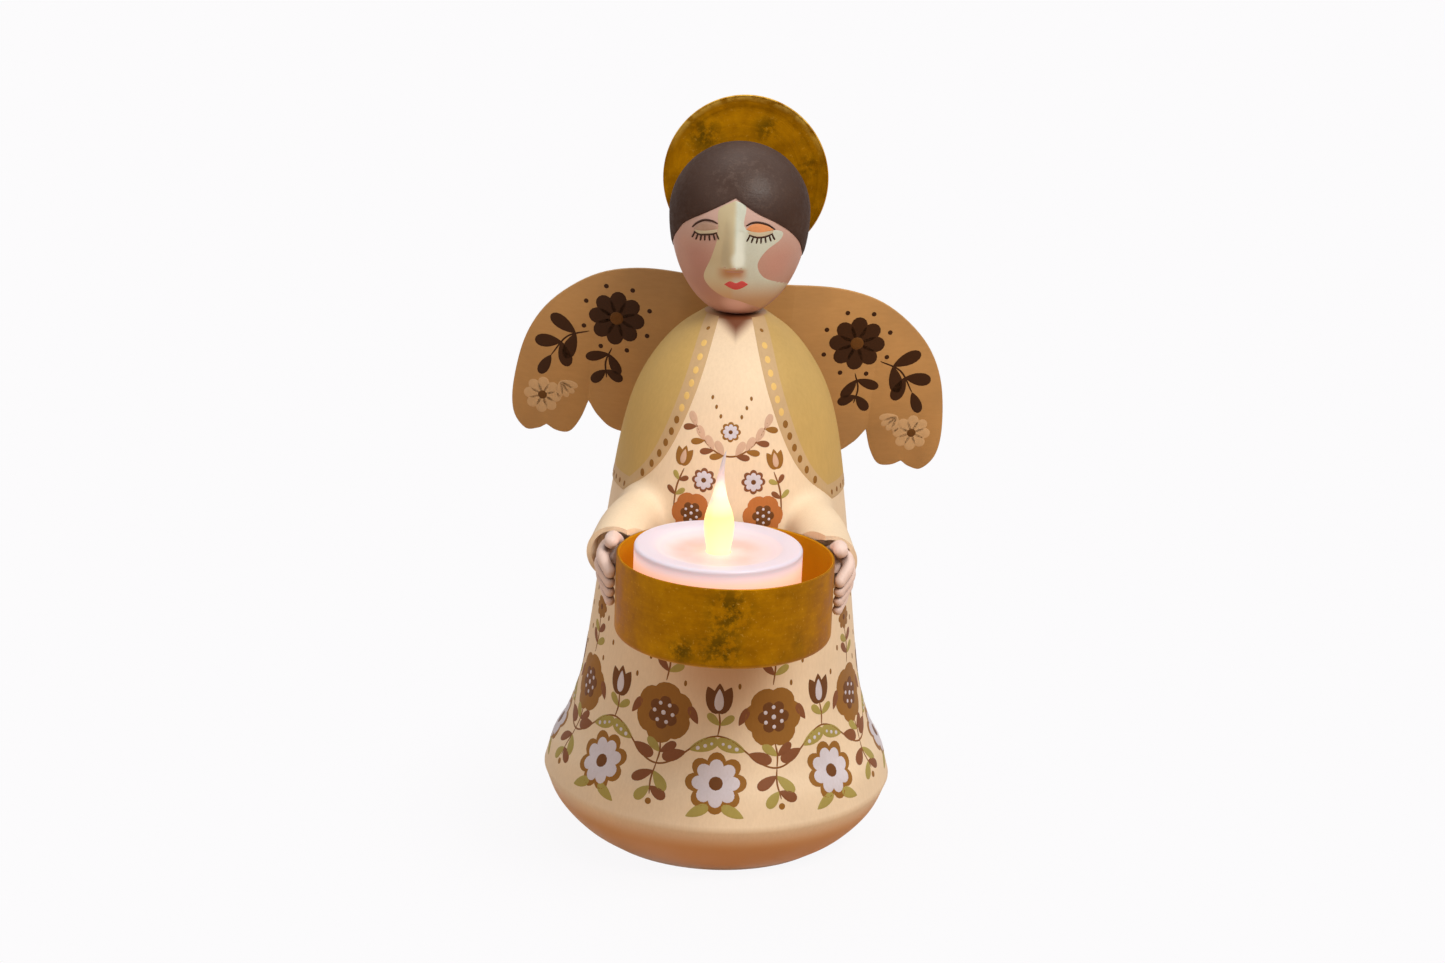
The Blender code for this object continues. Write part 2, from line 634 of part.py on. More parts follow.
def wing_outline():
    """One wing seen from the front as (x, z), from the middle of the top edge round to the lower edge."""
    span = WING_SPAN

    def at(across, rise):
        """A point at a share of the span and of the height from the lobe's lower edge to the top."""
        return Vector((across * span, between(WING_LOBE, WING_TOP, rise)))

    deep = at(0.645, 0.212)
    shallow = at(0.83, 0.040)
    upper = smooth([
        at(0.0, 0.963), at(0.24, 0.992), at(0.48, 0.979), at(0.68, 0.900), at(0.86, 0.726), at(0.96, 0.518),
        at(1.0, 0.260), at(0.99, 0.087), at(0.93, 0.0), at(0.87, 0.010), shallow,
    ], 2)
    middle = smooth([shallow, at(0.78, 0.015), at(0.72, 0.023), at(0.675, 0.104), deep], 2)
    start = Vector((0.8 * WING_WEB, WING_LOW))
    rise = Vector((1.2 * WING_WEB, between(WING_LOW, WING_TOP, 0.018)))
    inner = smooth([deep, at(0.59, 0.133), at(0.50, 0.075), rise, start], 2)
    return [*upper, *middle[1:], *inner[1:]]


def wing_place():
    """The frame of the flat seat on the back, whose origin lies at the pivot."""
    lean = Matrix.Rotation(math.radians(WING_LEAN), 4, "X")
    roll = Matrix.Rotation(math.radians(WING_ROLL), 4, "Y")
    return Matrix.Translation((0.0, WING_SEAT, WING_PIVOT)) @ lean @ roll


def wing_screw_spot(side):
    """A wing screw's place in the seat's frame."""
    return Vector((side * WING_SCREW_SPACING / 2, 0.0, -WING_SCREW_DROP))


def make_wings():
    right = wing_outline()
    left = [Vector((-p.x, p.y)) for p in reversed(right[1:])]
    bm = prism([(p.x, p.y - WING_PIVOT) for p in right + left], 0.0, WING_SHEET)
    for side in (-1, 1):
        fold = (side * WING_WEB, 0, 0)
        parts = [*bm.verts, *bm.edges, *bm.faces]
        bmesh.ops.bisect_plane(bm, geom=parts, plane_co=fold, plane_no=(1, 0, 0))
    slope = math.tan(math.radians(WING_SWEEP))
    for vert in bm.verts:
        vert.co.y += max(0.0, abs(vert.co.x) - WING_WEB) * slope
    bmesh.ops.triangulate(bm, faces=bm.faces)
    wings = make_object("wings", bm, WING_TAN)
    for side in (-1, 1):
        hole = cylinder(SCREW_RADIUS + FIT, -2 * WING_SHEET, 3 * WING_SHEET, LEAST_STEPS)
        cut(wings, along_y(hole, wing_screw_spot(side)))
    shade(wings)
    wings.matrix_world = wing_place() @ Matrix.Translation((0.0, FIT, 0.0))
    return wings


def make_wing_screws():
    """Two round-head screws through the wings into the back."""
    for name, side in (("wing_screw_left", -1), ("wing_screw_right", 1)):
        spot = wing_screw_spot(side)
        made = make_object(name, along_y(cylinder(SCREW_HEAD_RADIUS, 0.0, SCREW_HEAD_HEIGHT), spot), STEEL)
        add(made, along_y(cylinder(SCREW_RADIUS, -SCREW_LENGTH, 0.5 * SCREW_HEAD_HEIGHT, LEAST_STEPS), spot))
        shade(made)
        made.matrix_world = wing_place() @ Matrix.Translation((0.0, 2 * FIT + WING_SHEET, 0.0))


# Hands

def beside_dish(side, angle, height, out):
    """A point beside the dish. The angle is counted from the dish's side towards its front, in degrees."""
    reach = dish_radius + FIT + out
    turn = math.radians(angle)
    return Vector((side * reach * math.cos(turn), dish_y - reach * math.sin(turn), height))


def make_hand(name, side):
    """A hand round the dish: palm, thumb along the rim, fingers one below the other, and a wrist peg."""
    path = sleeve_path(side)
    mouth, inward = path[-1], (path[-2] - path[-1]).normalized()
    wrist = [mouth + inward * WRIST_LENGTH, mouth - inward * FINGER_RADIUS]
    hand = make_object(name, tube(wrist, [WRIST_RADIUS] * 2, LEAST_STEPS), HAND)
    palm = [
        mouth + inward * 0.7 * CUFF_DEPTH,
        beside_dish(side, -20.0, dish_rim - 1.05 * PALM_RADIUS, 1.2 * PALM_OUT),
        beside_dish(side, -13.0, dish_rim - 1.8 * PALM_RADIUS, PALM_OUT),
    ]
    add(hand, tube(palm, [0.8 * PALM_RADIUS, PALM_RADIUS, 0.8 * PALM_RADIUS], LEAST_STEPS))
    for k, (knuckle_drop, bend_drop, tip_drop, out) in enumerate(FINGERS):
        knuckle = beside_dish(side, -17.0, dish_rim - knuckle_drop, out)
        bend = beside_dish(side, -10.0 - k, dish_rim - bend_drop, out + 1.2 * MM)
        tip = beside_dish(side, -3.0 - k, dish_rim - tip_drop, 0.7 * FINGER_RADIUS)
        add(hand, finger([knuckle, bend, tip], FINGER_RADIUS * (1.0 - 0.05 * k)))
    thumb = [
        beside_dish(side, -22.0, dish_rim - 3 * THUMB_RISE, 1.4 * THUMB_OUT),
        beside_dish(side, -16.0, dish_rim + THUMB_RISE, 1.2 * THUMB_OUT),
        beside_dish(side, -10.5, dish_rim + THUMB_RISE, THUMB_OUT),
    ]
    add(hand, finger(thumb, 1.2 * FINGER_RADIUS))
    wall = cylinder(dish_radius + FIT, DISH_FLOOR_HEIGHT - FIT, dish_rim + 4 * FINGER_RADIUS, FINE_STEPS)
    cut(hand, move(wall, Matrix.Translation((0.0, dish_y, 0.0))))
    shade(hand)
    return hand


# Dish

def dish_screw_place():
    """The middle of the dish screw, on the dish's inner wall at the back."""
    height = DISH_FLOOR_HEIGHT + DISH_FLOOR + DISH_SCREW_RISE
    return Vector((0.0, dish_y + dish_radius - DISH_WALL, height))


def bend_round(corner, height, radius):
    """A quarter round from flat to upright, as (radius, height), about the middle of its bend."""
    angles = [math.pi / 2 * k / 3 for k in range(4)]
    return [(corner + radius * math.sin(a), height - radius * math.cos(a)) for a in angles]


def make_dish():
    inner = dish_radius - DISH_WALL
    corner = dish_radius - DISH_EDGE
    outside = bend_round(corner, DISH_EDGE, DISH_EDGE)
    inside = bend_round(corner, DISH_FLOOR + DISH_EDGE - DISH_WALL, DISH_EDGE - DISH_WALL)
    wall = [(dish_radius, DISH_HEIGHT), (inner, DISH_HEIGHT)]
    profile = [(0.0, 0.0), *outside, *wall, *reversed(inside), (0.0, DISH_FLOOR)]
    bm = move(revolve(profile), Matrix.Translation((0.0, dish_y, DISH_FLOOR_HEIGHT)))
    dish = make_object("candle_dish", bm, GOLD)
    hole = cylinder(SCREW_RADIUS + FIT, -3 * DISH_WALL, 4 * DISH_WALL, LEAST_STEPS)
    cut(dish, along_y(hole, dish_screw_place()))
    shade(dish)
    return dish


def make_dish_screw():
    """The dish's screw points along +Y, from the dish into the gown."""
    sagitta = SCREW_HEAD_RADIUS**2 / (2 * (dish_radius - DISH_WALL))
    place = dish_screw_place() - Vector((0.0, FIT + sagitta, 0.0))
    turn = Matrix.Translation(place) @ Matrix.Rotation(math.pi / 2, 4, "X")
    made = make_object("dish_screw", move(cylinder(SCREW_HEAD_RADIUS, 0.0, SCREW_HEAD_HEIGHT), turn), STEEL)
    shank = cylinder(SCREW_RADIUS, -SCREW_LENGTH, 0.5 * SCREW_HEAD_HEIGHT, LEAST_STEPS)
    add(made, move(shank, turn))
    shade(made)
    return made


# Tea light

def at_candle(bm):
    return move(bm, Matrix.Translation(candle))


def ring_at(radius, low, high, y, steps=COARSE_STEPS):
    """A cylinder in the tea light's frame, beside its axis."""
    return move(cylinder(radius, low, high, steps), Matrix.Translation((0.0, y, 0.0)))


def make_candle_shell():
    """The shell: a thin cap with a rounded edge and a shallow pool round the flame."""
    inner = candle_radius - CANDLE_WALL
    turn = [math.pi / 2 * k / 3 for k in range(4)]
    corner = (candle_radius - CANDLE_EDGE, CANDLE_HEIGHT - CANDLE_EDGE)
    edge = [(corner[0] + CANDLE_EDGE * math.cos(a), corner[1] + CANDLE_EDGE * math.sin(a)) for a in turn]
    hole = FLAME_FOOT_RADIUS + FIT
    pool = [
        (between(POOL_RADIUS, candle_radius, 0.35), CANDLE_HEIGHT - 0.1 * POOL_DEPTH),
        (POOL_RADIUS, CANDLE_HEIGHT - 0.55 * POOL_DEPTH),
        (0.8 * POOL_RADIUS, pool_top),
        (hole, pool_top),
    ]
    under = [(hole, pool_top - CANDLE_WALL), (inner, pool_top - CANDLE_WALL), (inner, 0.0)]
    section = [(candle_radius, 0.0), *edge, *pool, *under]
    shell = make_object("candle_shell", at_candle(revolve(section)), WAX_WHITE)
    shade(shell)
    return shell


def make_flame():
    """The flame's moulding: a hollow foot over the LED, a flange under the wax, and a tip that curls."""
    above = [(0.0, 0.76), (0.07, 0.84), (0.14, 0.93), (0.25, 1.0), (0.33, 0.96), (0.40, 0.85), (0.47, 0.68),
             (0.54, 0.52), (0.66, 0.33), (0.79, 0.19), (0.92, 0.10)]
    outside = [(FLAME_RADIUS * share, pool_top + FLAME_HEIGHT * rise) for rise, share in above]
    outside[0] = (FLAME_FOOT_RADIUS, pool_top)
    bore_top = pool_top + 0.2 * FLAME_HEIGHT
    bore = [
        (0.0, bore_top + FLAME_BORE), (0.7 * FLAME_BORE, bore_top + 0.7 * FLAME_BORE),
        (FLAME_BORE, bore_top), (FLAME_BORE, flange_low),
    ]
    flange = [(FLAME_FLANGE, flange_low), (FLAME_FLANGE, flange_top), (FLAME_FOOT_RADIUS, flange_top)]
    bm = revolve([*bore, *flange, *outside, (0.0, pool_top + FLAME_HEIGHT)], COARSE_STEPS)
    for vert in bm.verts:
        share = max(0.0, (vert.co.z - pool_top) / FLAME_HEIGHT)
        vert.co.x += FLAME_CURL * (2.6 * share**4 - 1.6 * share**2)
    flame = make_object("flame", at_candle(bm), FLAME_CREAM)
    shade(flame, 60.0)
    return flame


def make_led():
    """The LED: a domed body on a flange, with two legs down to the contacts."""
    high = led_low + LED_HEIGHT - LED_RADIUS
    dome = [(LED_RADIUS * math.cos(a), high + LED_RADIUS * math.sin(a)) for a in (0.0, 0.5, 1.0)]
    profile = [(0.0, led_low), (LED_FLANGE, led_low), (LED_FLANGE, led_low + LED_FLANGE_HEIGHT),
               (LED_RADIUS, led_low + LED_FLANGE_HEIGHT), *dome, (0.0, high + LED_RADIUS)]
    led = make_object("led", at_candle(revolve(profile, COARSE_STEPS)), LED_CLEAR)
    for side in (-1, 1):
        x = side * LED_LEG_SPACING / 2
        leg = block((x - LED_LEG / 2, -LED_LEG / 2, contact_low + CONTACT_SHEET + FIT),
                    (x + LED_LEG / 2, LED_LEG / 2, led_low + 0.5 * LED_FLANGE_HEIGHT))
        add(led, at_candle(leg))
    shade(led)
    return led


def make_candle_base():
    """The bottom moulding: plate, battery bay, pillar for the LED, screw boss and switch slot."""
    plate = at_candle(cylinder(base_radius, 0.0, BASE_PLATE, FINE_STEPS))
    base = make_object("candle_base", plate, WAX_WHITE)
    add(base, at_candle(ring_at(bay_outer, 0.5 * BASE_PLATE, roof_top, bay_y, MIDDLE_STEPS)))
    add(base, at_candle(cylinder(PILLAR_RADIUS, roof_low + 0.5 * BAY_ROOF, pillar_top)))
    boss_top = COVER_SCREW_LENGTH + FIT + BAY_WALL
    add(base, at_candle(ring_at(BOSS_RADIUS, 0.5 * BASE_PLATE, boss_top, boss_y)))
    cut(base, at_candle(ring_at(bay_radius, -FIT, roof_low, bay_y, MIDDLE_STEPS)))
    recess = COVER_SHEET + FIT
    for shape in cover_shapes(FIT, -FIT, recess):
        cut(base, shape)
    screw_hole = ring_at(COVER_SCREW_RADIUS + FIT, -FIT, COVER_SCREW_LENGTH + FIT, boss_y, LEAST_STEPS)
    cut(base, at_candle(screw_hole))
    cut(base, at_candle(cylinder(PILLAR_BORE, roof_low - FIT, pillar_top + FIT)))
    slot = Vector((KNOB_LENGTH / 2 + SWITCH_TRAVEL / 2 + RUN, KNOB_WIDTH / 2 + RUN, BASE_PLATE / 2 + FIT))
    middle = Vector((0.0, switch_y, BASE_PLATE / 2))
    cut(base, at_candle(block(middle - slot, middle + slot)))
    shade(base)
    return base


def make_cell():
    top = cell_low + CELL_HEIGHT
    profile = [
        (0.0, cell_low), (CELL_RADIUS - CELL_EDGE, cell_low), (CELL_RADIUS, cell_low + CELL_EDGE),
        (CELL_RADIUS, top - 2 * CELL_EDGE), (CELL_RADIUS - 2 * CELL_EDGE, top), (0.0, top),
    ]
    bm = move(revolve(profile, MIDDLE_STEPS), Matrix.Translation((0.0, bay_y, 0.0)))
    cell = make_object("coin_cell", at_candle(bm), STEEL)
    shade(cell)
    return cell


def make_contacts():
    """Two strips over the cell, one under each LED leg. The plus strip also runs down the cell's side."""
    half = CONTACT_WIDTH / 2
    near = LED_LEG_SPACING / 2 - LED_LEG
    high = contact_low + CONTACT_SHEET
    outer = CELL_RADIUS + FIT + CONTACT_SHEET
    reach = math.sqrt(outer**2 - (half + abs(bay_y)) ** 2)
    strip = block((-0.6 * CELL_RADIUS, -half, contact_low), (-near, half, high))
    minus = make_object("contact_minus", at_candle(strip), STEEL)
    shade(minus)

    strip = block((near, -half, contact_low), (reach, half, high))
    plus = make_object("contact_plus", at_candle(strip), STEEL)
    leaf = make_object("leaf", at_candle(ring_at(outer, cell_low + FIT, high, bay_y, MIDDLE_STEPS)))
    cut(leaf, at_candle(ring_at(CELL_RADIUS + FIT, 0.0, 2 * high, bay_y, MIDDLE_STEPS)))
    width = block((0.0, -half, 0.0), (2 * outer, half, 2 * high))
    combine(leaf, at_candle(width), "INTERSECT")
    shape = bmesh.new()
    shape.from_mesh(leaf.data)
    bpy.data.objects.remove(leaf)
    add(plus, shape)
    shade(plus)


def cover_shapes(grow, low, high):
    """The cover's disc, its ear and the link between them, grown sideways by a given amount."""
    trim = COVER_LIP + FIT - grow
    half = 0.5 * BOSS_RADIUS + grow
    return [
        at_candle(ring_at(bay_outer - trim, low, high, bay_y, MIDDLE_STEPS)),
        at_candle(ring_at(BOSS_RADIUS - trim, low, high, boss_y)),
        at_candle(block((-half, boss_y, low), (half, bay_y, high))),
    ]


def make_cover():
    """The battery cover: a disc with an ear for its screw."""
    disc, ear, link = cover_shapes(0.0, 0.0, COVER_SHEET)
    cover = make_object("battery_cover", disc, WAX_WHITE)
    add(cover, ear)
    add(cover, link)
    cut(cover, at_candle(ring_at(COVER_SCREW_RADIUS + FIT, -FIT, 2 * COVER_SHEET, boss_y, LEAST_STEPS)))
    cut(cover, at_candle(ring_at(COVER_HEAD_RADIUS + FIT, -FIT, COVER_HEAD_HEIGHT + FIT, boss_y)))
    shade(cover)
    return cover


def over_slot(x, low, high, length, width):
    """A box on the slot's middle line, between two heights in the tea light's frame."""
    half = Vector((length / 2, width / 2, (high - low) / 2))
    middle = Vector((x, switch_y, (low + high) / 2))
    return at_candle(block(middle - half, middle + half))


def make_switch():
    """The slide switch: a case over the slot, and a slider whose knob stands in the slot."""
    low = BASE_PLATE + FIT
    high = low + SWITCH_HEIGHT
    room_length = SWITCH_LENGTH - 2 * SWITCH_WALL
    room_width = SWITCH_WIDTH - 2 * SWITCH_WALL
    case = make_object("switch_case", over_slot(0.0, low, high, SWITCH_LENGTH, SWITCH_WIDTH), STEEL)
    cut(case, over_slot(0.0, low - FIT, high - SWITCH_WALL, room_length, room_width))
    shade(case)

    x = -SWITCH_TRAVEL / 2
    top = low + SLIDER_HEIGHT
    slider = make_object("switch_slider", over_slot(x, low, top, SLIDER_LENGTH, room_width - 2 * RUN), HAIR)
    add(slider, over_slot(x, KNOB_RECESS, low + 0.5 * SLIDER_HEIGHT, KNOB_LENGTH, KNOB_WIDTH))
    shade(slider)


def make_cover_screw():
    """The cover's screw, its head flush in the cover."""
    head = ring_at(COVER_HEAD_RADIUS, 0.0, COVER_HEAD_HEIGHT, boss_y)
    shank = ring_at(COVER_SCREW_RADIUS, 0.5 * COVER_HEAD_HEIGHT, COVER_SCREW_LENGTH, boss_y, LEAST_STEPS)
    made = make_object("cover_screw", at_candle(head), STEEL)
    add(made, at_candle(shank))
    shade(made)


def main():
    for old in list(bpy.data.objects):
        bpy.data.objects.remove(old)
    make_gown()
    make_head()
    make_halo()
    make_halo_nail()
    make_wings()
    make_wing_screws()
    make_hand("hand_left", -1)
    make_hand("hand_right", 1)
    make_dish()
    make_dish_screw()
    make_candle_shell()
    make_flame()
    make_led()
    make_candle_base()
    make_cell()
    make_contacts()
    make_cover()
    make_cover_screw()
    make_switch()


main()
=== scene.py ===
"""The looks of the angel candle holder: fine forms, painted finishes, light and camera.

Lengths are in metres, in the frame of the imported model: +Z up, and the angel looks along -Y.
"""

import bisect
import math

import bmesh
import bpy
from mathutils import Matrix, Vector


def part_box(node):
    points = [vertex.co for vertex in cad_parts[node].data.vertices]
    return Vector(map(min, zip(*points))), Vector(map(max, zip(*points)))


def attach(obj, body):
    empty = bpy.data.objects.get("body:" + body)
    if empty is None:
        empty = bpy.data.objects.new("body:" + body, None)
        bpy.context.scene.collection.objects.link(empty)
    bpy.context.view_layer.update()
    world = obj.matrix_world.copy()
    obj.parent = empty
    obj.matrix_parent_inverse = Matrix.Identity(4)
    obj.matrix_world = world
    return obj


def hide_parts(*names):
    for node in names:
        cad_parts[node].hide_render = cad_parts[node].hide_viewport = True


MM = 0.001
BODY = "figure"

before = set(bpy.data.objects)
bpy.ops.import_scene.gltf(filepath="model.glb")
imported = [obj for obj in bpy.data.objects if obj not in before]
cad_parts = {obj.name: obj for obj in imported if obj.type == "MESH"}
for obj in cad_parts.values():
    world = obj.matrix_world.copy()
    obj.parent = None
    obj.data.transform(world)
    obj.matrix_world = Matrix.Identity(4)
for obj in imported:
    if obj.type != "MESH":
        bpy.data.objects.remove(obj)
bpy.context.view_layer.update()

# Places read from the frame
dish_low, dish_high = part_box("candle_dish")
dish_axis = (dish_low + dish_high) / 2
dish_radius = (dish_high.x - dish_low.x) / 2
dish_rim = dish_high.z
shell_low, shell_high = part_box("candle_shell")
candle_axis = (shell_low + shell_high) / 2
candle_radius = (shell_high.x - shell_low.x) / 2
flame_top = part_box("flame")[1].z
neck_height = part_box("gown_body")[1].z

# Camera, as found from the outlines of the tea light, the dish and the gown
CAMERA_PLACE = Vector((-1.42, -659.57, 285.76)) * MM
CAMERA_PITCH = 16.592     # degrees down
CAMERA_ROLL = 2.414       # degrees
CAMERA_LENS = 70.45       # millimetres on a 36 mm sensor

# Gown
FIT = 0.3 * MM
FOOT_RADIUS = 30.0 * MM
HEM_RADIUS = 43.0 * MM
HEM_HEIGHT = 15.9 * MM
SKIRT_RADIUS = 34.0 * MM
SKIRT_HEIGHT = 42.0 * MM
WAIST_RADIUS = 29.6 * MM
WAIST_HEIGHT = 78.0 * MM
CHEST_RADIUS = 26.9 * MM
CHEST_HEIGHT = 97.0 * MM
SHOULDER_RADIUS = 17.8 * MM
SHOULDER_HEIGHT = 122.5 * MM
NECK_RADIUS = 7.3 * MM
PEG_RADIUS = 3.0 * MM
PEG_LENGTH = 9.0 * MM

# Mantle
MANTLE_PROUD = 0.3 * MM
MANTLE_LOW = 89.5 * MM
MANTLE_NECK_GAP = 3.6 * MM
MANTLE_LOW_GAP = 25.0 * MM
EDGING_WIDTH = 4.2 * MM

# Ornaments
VINE_HEIGHT = 33.0 * MM
VINE_WAVE = 3.8 * MM
FESTOON_HEIGHT = 103.0 * MM

# Head
HEAD_RADIUS = 16.4 * MM
CROWN_HEIGHT = 16.3 * MM
CHIN_DEPTH = 24.9 * MM
HEAD_REST = 23.4 * MM
HEAD_TURN = -4.0          # degrees
HAIR_PROUD = 0.3 * MM
NOSE_PROUD = 2.2 * MM
NOSE_TIP = -10.3 * MM
NOSE_LENGTH = 12.5 * MM
NOSE_UNDERSIDE = 0.9 * MM
NOSE_LOW_WIDTH = 3.0 * MM  # to each side of its ridge
NOSE_TOP_WIDTH = 1.9 * MM
head_height = neck_height + 2 * FIT + HEAD_REST

# Halo
HALO_RADIUS = 20.0 * MM
HALO_SHEET = 0.8 * MM
HALO_DISHING = 1.0 * MM
HALO_RISE = 5.2 * MM
HALO_LEAN = 5.0           # degrees
HEAD_FLAT = 1.3 * MM
NAIL_RADIUS = 0.8 * MM
NAIL_LENGTH = 7.0 * MM
NAIL_SPOT = Vector((0.0, 0.0, 0.3 * CROWN_HEIGHT))
halo_seat = HEAD_RADIUS + HAIR_PROUD - HEAD_FLAT

# Wings
WING_SHEET = 0.9 * MM
WING_SPAN = 54.4 * MM
WING_TOP = 135.8 * MM
WING_LOW = 90.4 * MM
WING_LOBE = 87.7 * MM
WING_WEB = 13.0 * MM
WING_SWEEP = 10.0         # degrees
WING_ROLL = 3.8           # degrees
WING_PIVOT = 112.0 * MM
WING_SEAT = 21.4 * MM
WING_LEAN = 7.0           # degrees
SCREW_RADIUS = 1.2 * MM
SCREW_LENGTH = 8.0 * MM
WING_SCREW_SPACING = 14.0 * MM
WING_SCREW_DROP = 8.0 * MM

# Sleeves and hands
SLEEVE_ROOT_RADIUS = 6.6 * MM
SLEEVE_ROOT_DROP = 2.4 * MM
CUFF_RADIUS = 6.6 * MM
CUFF_OUT = {-1: 0.8 * MM, 1: -0.9 * MM}
CUFF_DROP = 4.4 * MM
CUFF_WALL = 0.9 * MM
CUFF_DEPTH = 4.0 * MM
CUFF_BACK = 11.0 * MM
SEAM_FILLET = 3.2 * MM
SEAM_LIFT = 1.2 * MM      # how far the mantle rides up on that fillet
SEAM_HEIGHT = 48.0 * MM   # the room above and below the rim where a sleeve can be near
SEAM_MIDDLE = 4.0 * MM    # it starts this far from the middle
SEAM_BACK = 8.0 * MM      # and ends this far behind it
PALM_RADIUS = 3.6 * MM
PALM_OUT = 2.2 * MM
THUMB_RISE = 0.4 * MM
THUMB_OUT = 1.6 * MM
FINGER_RADIUS = 1.6 * MM
FINGERS = (
    # drop below the rim at knuckle, bend and tip, then how far the bend stands out
    (1.2 * MM, 3.0 * MM, 5.8 * MM, 2.2 * MM),
    (2.2 * MM, 5.2 * MM, 8.3 * MM, 2.8 * MM),
    (3.8 * MM, 7.5 * MM, 10.7 * MM, 2.6 * MM),
    (5.6 * MM, 9.9 * MM, 13.0 * MM, 1.9 * MM),
)
WRIST_RADIUS = 2.4 * MM
WRIST_LENGTH = 9.0 * MM

# Dish and tea light
DISH_WALL = 0.6 * MM
DISH_FLOOR = 0.8 * MM
DISH_EDGE = 1.6 * MM
DISH_SCREW_RISE = 6.0 * MM
CANDLE_WALL = 0.9 * MM
CANDLE_EDGE = 0.8 * MM
POOL_RADIUS = 13.0 * MM
POOL_DEPTH = 1.6 * MM
FLAME_HEIGHT = 23.8 * MM
FLAME_RADIUS = 3.4 * MM
FLAME_FOOT_RADIUS = 2.6 * MM
FLAME_FLANGE = 4.2 * MM
FLAME_FLANGE_HEIGHT = 1.0 * MM
FLAME_BORE = 1.9 * MM
FLAME_CURL = 0.9 * MM
pool_top = shell_high.z - POOL_DEPTH


# Curves and meshes

def between(low, high, share):
    return low + (high - low) * share


def smooth(points, per_span=6):
    """Points on a Catmull-Rom curve through the given points."""
    points = [Vector(point) for point in points]
    ends = [2 * points[0] - points[1], *points, 2 * points[-1] - points[-2]]
    curve = [points[0]]
    for before, start, stop, after in zip(ends, ends[1:], ends[2:], ends[3:]):
        bend = 2 * before - 5 * start + 4 * stop - after
        twist = 3 * start - before - 3 * stop + after
        for step in range(1, per_span + 1):
            t = step / per_span
            curve.append(0.5 * (2 * start + (stop - before) * t + bend * t**2 + twist * t**3))
    return curve


def part_way(start, stop, across, up):
    """A flat point at one share of the way across and another share of the way up."""
    return between(start[0], stop[0], across), between(start[1], stop[1], up)


def arc(centre, radius, first, last, steps=8):
    """Flat points on a round stretch between two angles in degrees."""
    angles = [math.radians(between(first, last, k / steps)) for k in range(steps + 1)]
    return [(centre[0] + radius * math.cos(a), centre[1] + radius * math.sin(a)) for a in angles]


def turns(count):
    """Equal steps round a full circle, in radians."""
    return [math.tau * k / count for k in range(count)]


def heading(path, i):
    """The direction of a path at one of its points."""
    return path[min(i + 1, len(path) - 1)] - path[max(i - 1, 0)]


def interpolate(inputs, outputs, value):
    """The output for a value, on straight lines between rising inputs and held at both ends."""
    i = min(max(bisect.bisect_right(inputs, value), 1), len(inputs) - 1)
    share = (value - inputs[i - 1]) / (inputs[i] - inputs[i - 1])
    return between(outputs[i - 1], outputs[i], min(1.0, max(0.0, share)))


def revolve(profile, steps=192):
    """A turned form about Z, from (radius, height) points. Ends off the axis are joined into a ring."""
    bm = bmesh.new()
    verts = [bm.verts.new((radius, 0.0, height)) for radius, height in profile]
    edges = [bm.edges.new(pair) for pair in zip(verts, verts[1:])]
    if min(profile[0][0], profile[-1][0]) > 0.0:
        edges.append(bm.edges.new((verts[-1], verts[0])))
    bmesh.ops.spin(bm, geom=verts + edges, axis=(0, 0, 1), cent=(0, 0, 0),
                   angle=math.tau, steps=steps, use_merge=True, use_duplicate=False)
    bmesh.ops.remove_doubles(bm, verts=bm.verts, dist=0.002 * MM)
    return bm


def cylinder(radius, low, high, steps=24):
    return revolve([(0.0, low), (radius, low), (radius, high), (0.0, high)], steps)


def close_rings(bm, rings, *tips):
    """Lays faces between closed rings of corners, and fans from the first and last ring to their tips."""
    count = len(rings[0])
    for low, high in zip(rings, rings[1:]):
        for k in range(count):
            n = (k + 1) % count
            bm.faces.new((low[k], low[n], high[n], high[k]))
    for ring, tip in zip((rings[0], rings[-1]), tips):
        top = bm.verts.new(tip)
        for k in range(count):
            bm.faces.new((ring[k], ring[(k + 1) % count], top))


def tube(centres, radii, steps=32):
    """A round bar of changing radius along a path, with closed ends."""
    bm = bmesh.new()
    rings = []
    side = Vector((0, 0, 1))
    for i, (centre, radius) in enumerate(zip(centres, radii)):
        along = heading(centres, i).normalized()
        side = (side - along * side.dot(along)).normalized()
        across = along.cross(side)
        spokes = [math.cos(a) * side + math.sin(a) * across for a in turns(steps)]
        rings.append([bm.verts.new(centre + radius * spoke) for spoke in spokes])
    close_rings(bm, rings)
    bm.faces.new(rings[0])
    bm.faces.new(rings[-1])
    return bm


def add_sheet(bm, rows):
    """Adds a closed skin from rows of (outer point, inner point) pairs."""
    outer = [[bm.verts.new(pair[0]) for pair in row] for row in rows]
    inner = [[bm.verts.new(pair[1]) for pair in row] for row in rows]
    spans = range(len(rows[0]) - 1)
    for a, b, c, d in zip(outer, outer[1:], inner, inner[1:]):
        for k in spans:
            bm.faces.new((a[k], a[k + 1], b[k + 1], b[k]))
            bm.faces.new((c[k], d[k], d[k + 1], c[k + 1]))
        for k in (0, -1):
            bm.faces.new((a[k], b[k], d[k], c[k]))
    for edge in (0, -1):
        for k in spans:
            bm.faces.new((outer[edge][k], outer[edge][k + 1], inner[edge][k + 1], inner[edge][k]))


def move(bm, place):
    """Moves a shape by a matrix or by a distance."""
    matrix = place if isinstance(place, Matrix) else Matrix.Translation(place)
    bmesh.ops.transform(bm, matrix=matrix, verts=bm.verts)
    return bm


def tilted(degrees, axis):
    return Matrix.Rotation(math.radians(degrees), 4, axis)


def along_y(bm, place=(0.0, 0.0, 0.0)):
    """Turns a shape that was made along +Z so that it points along +Y, and puts it at a place."""
    return move(bm, Matrix.Translation(place) @ tilted(-90.0, "X"))


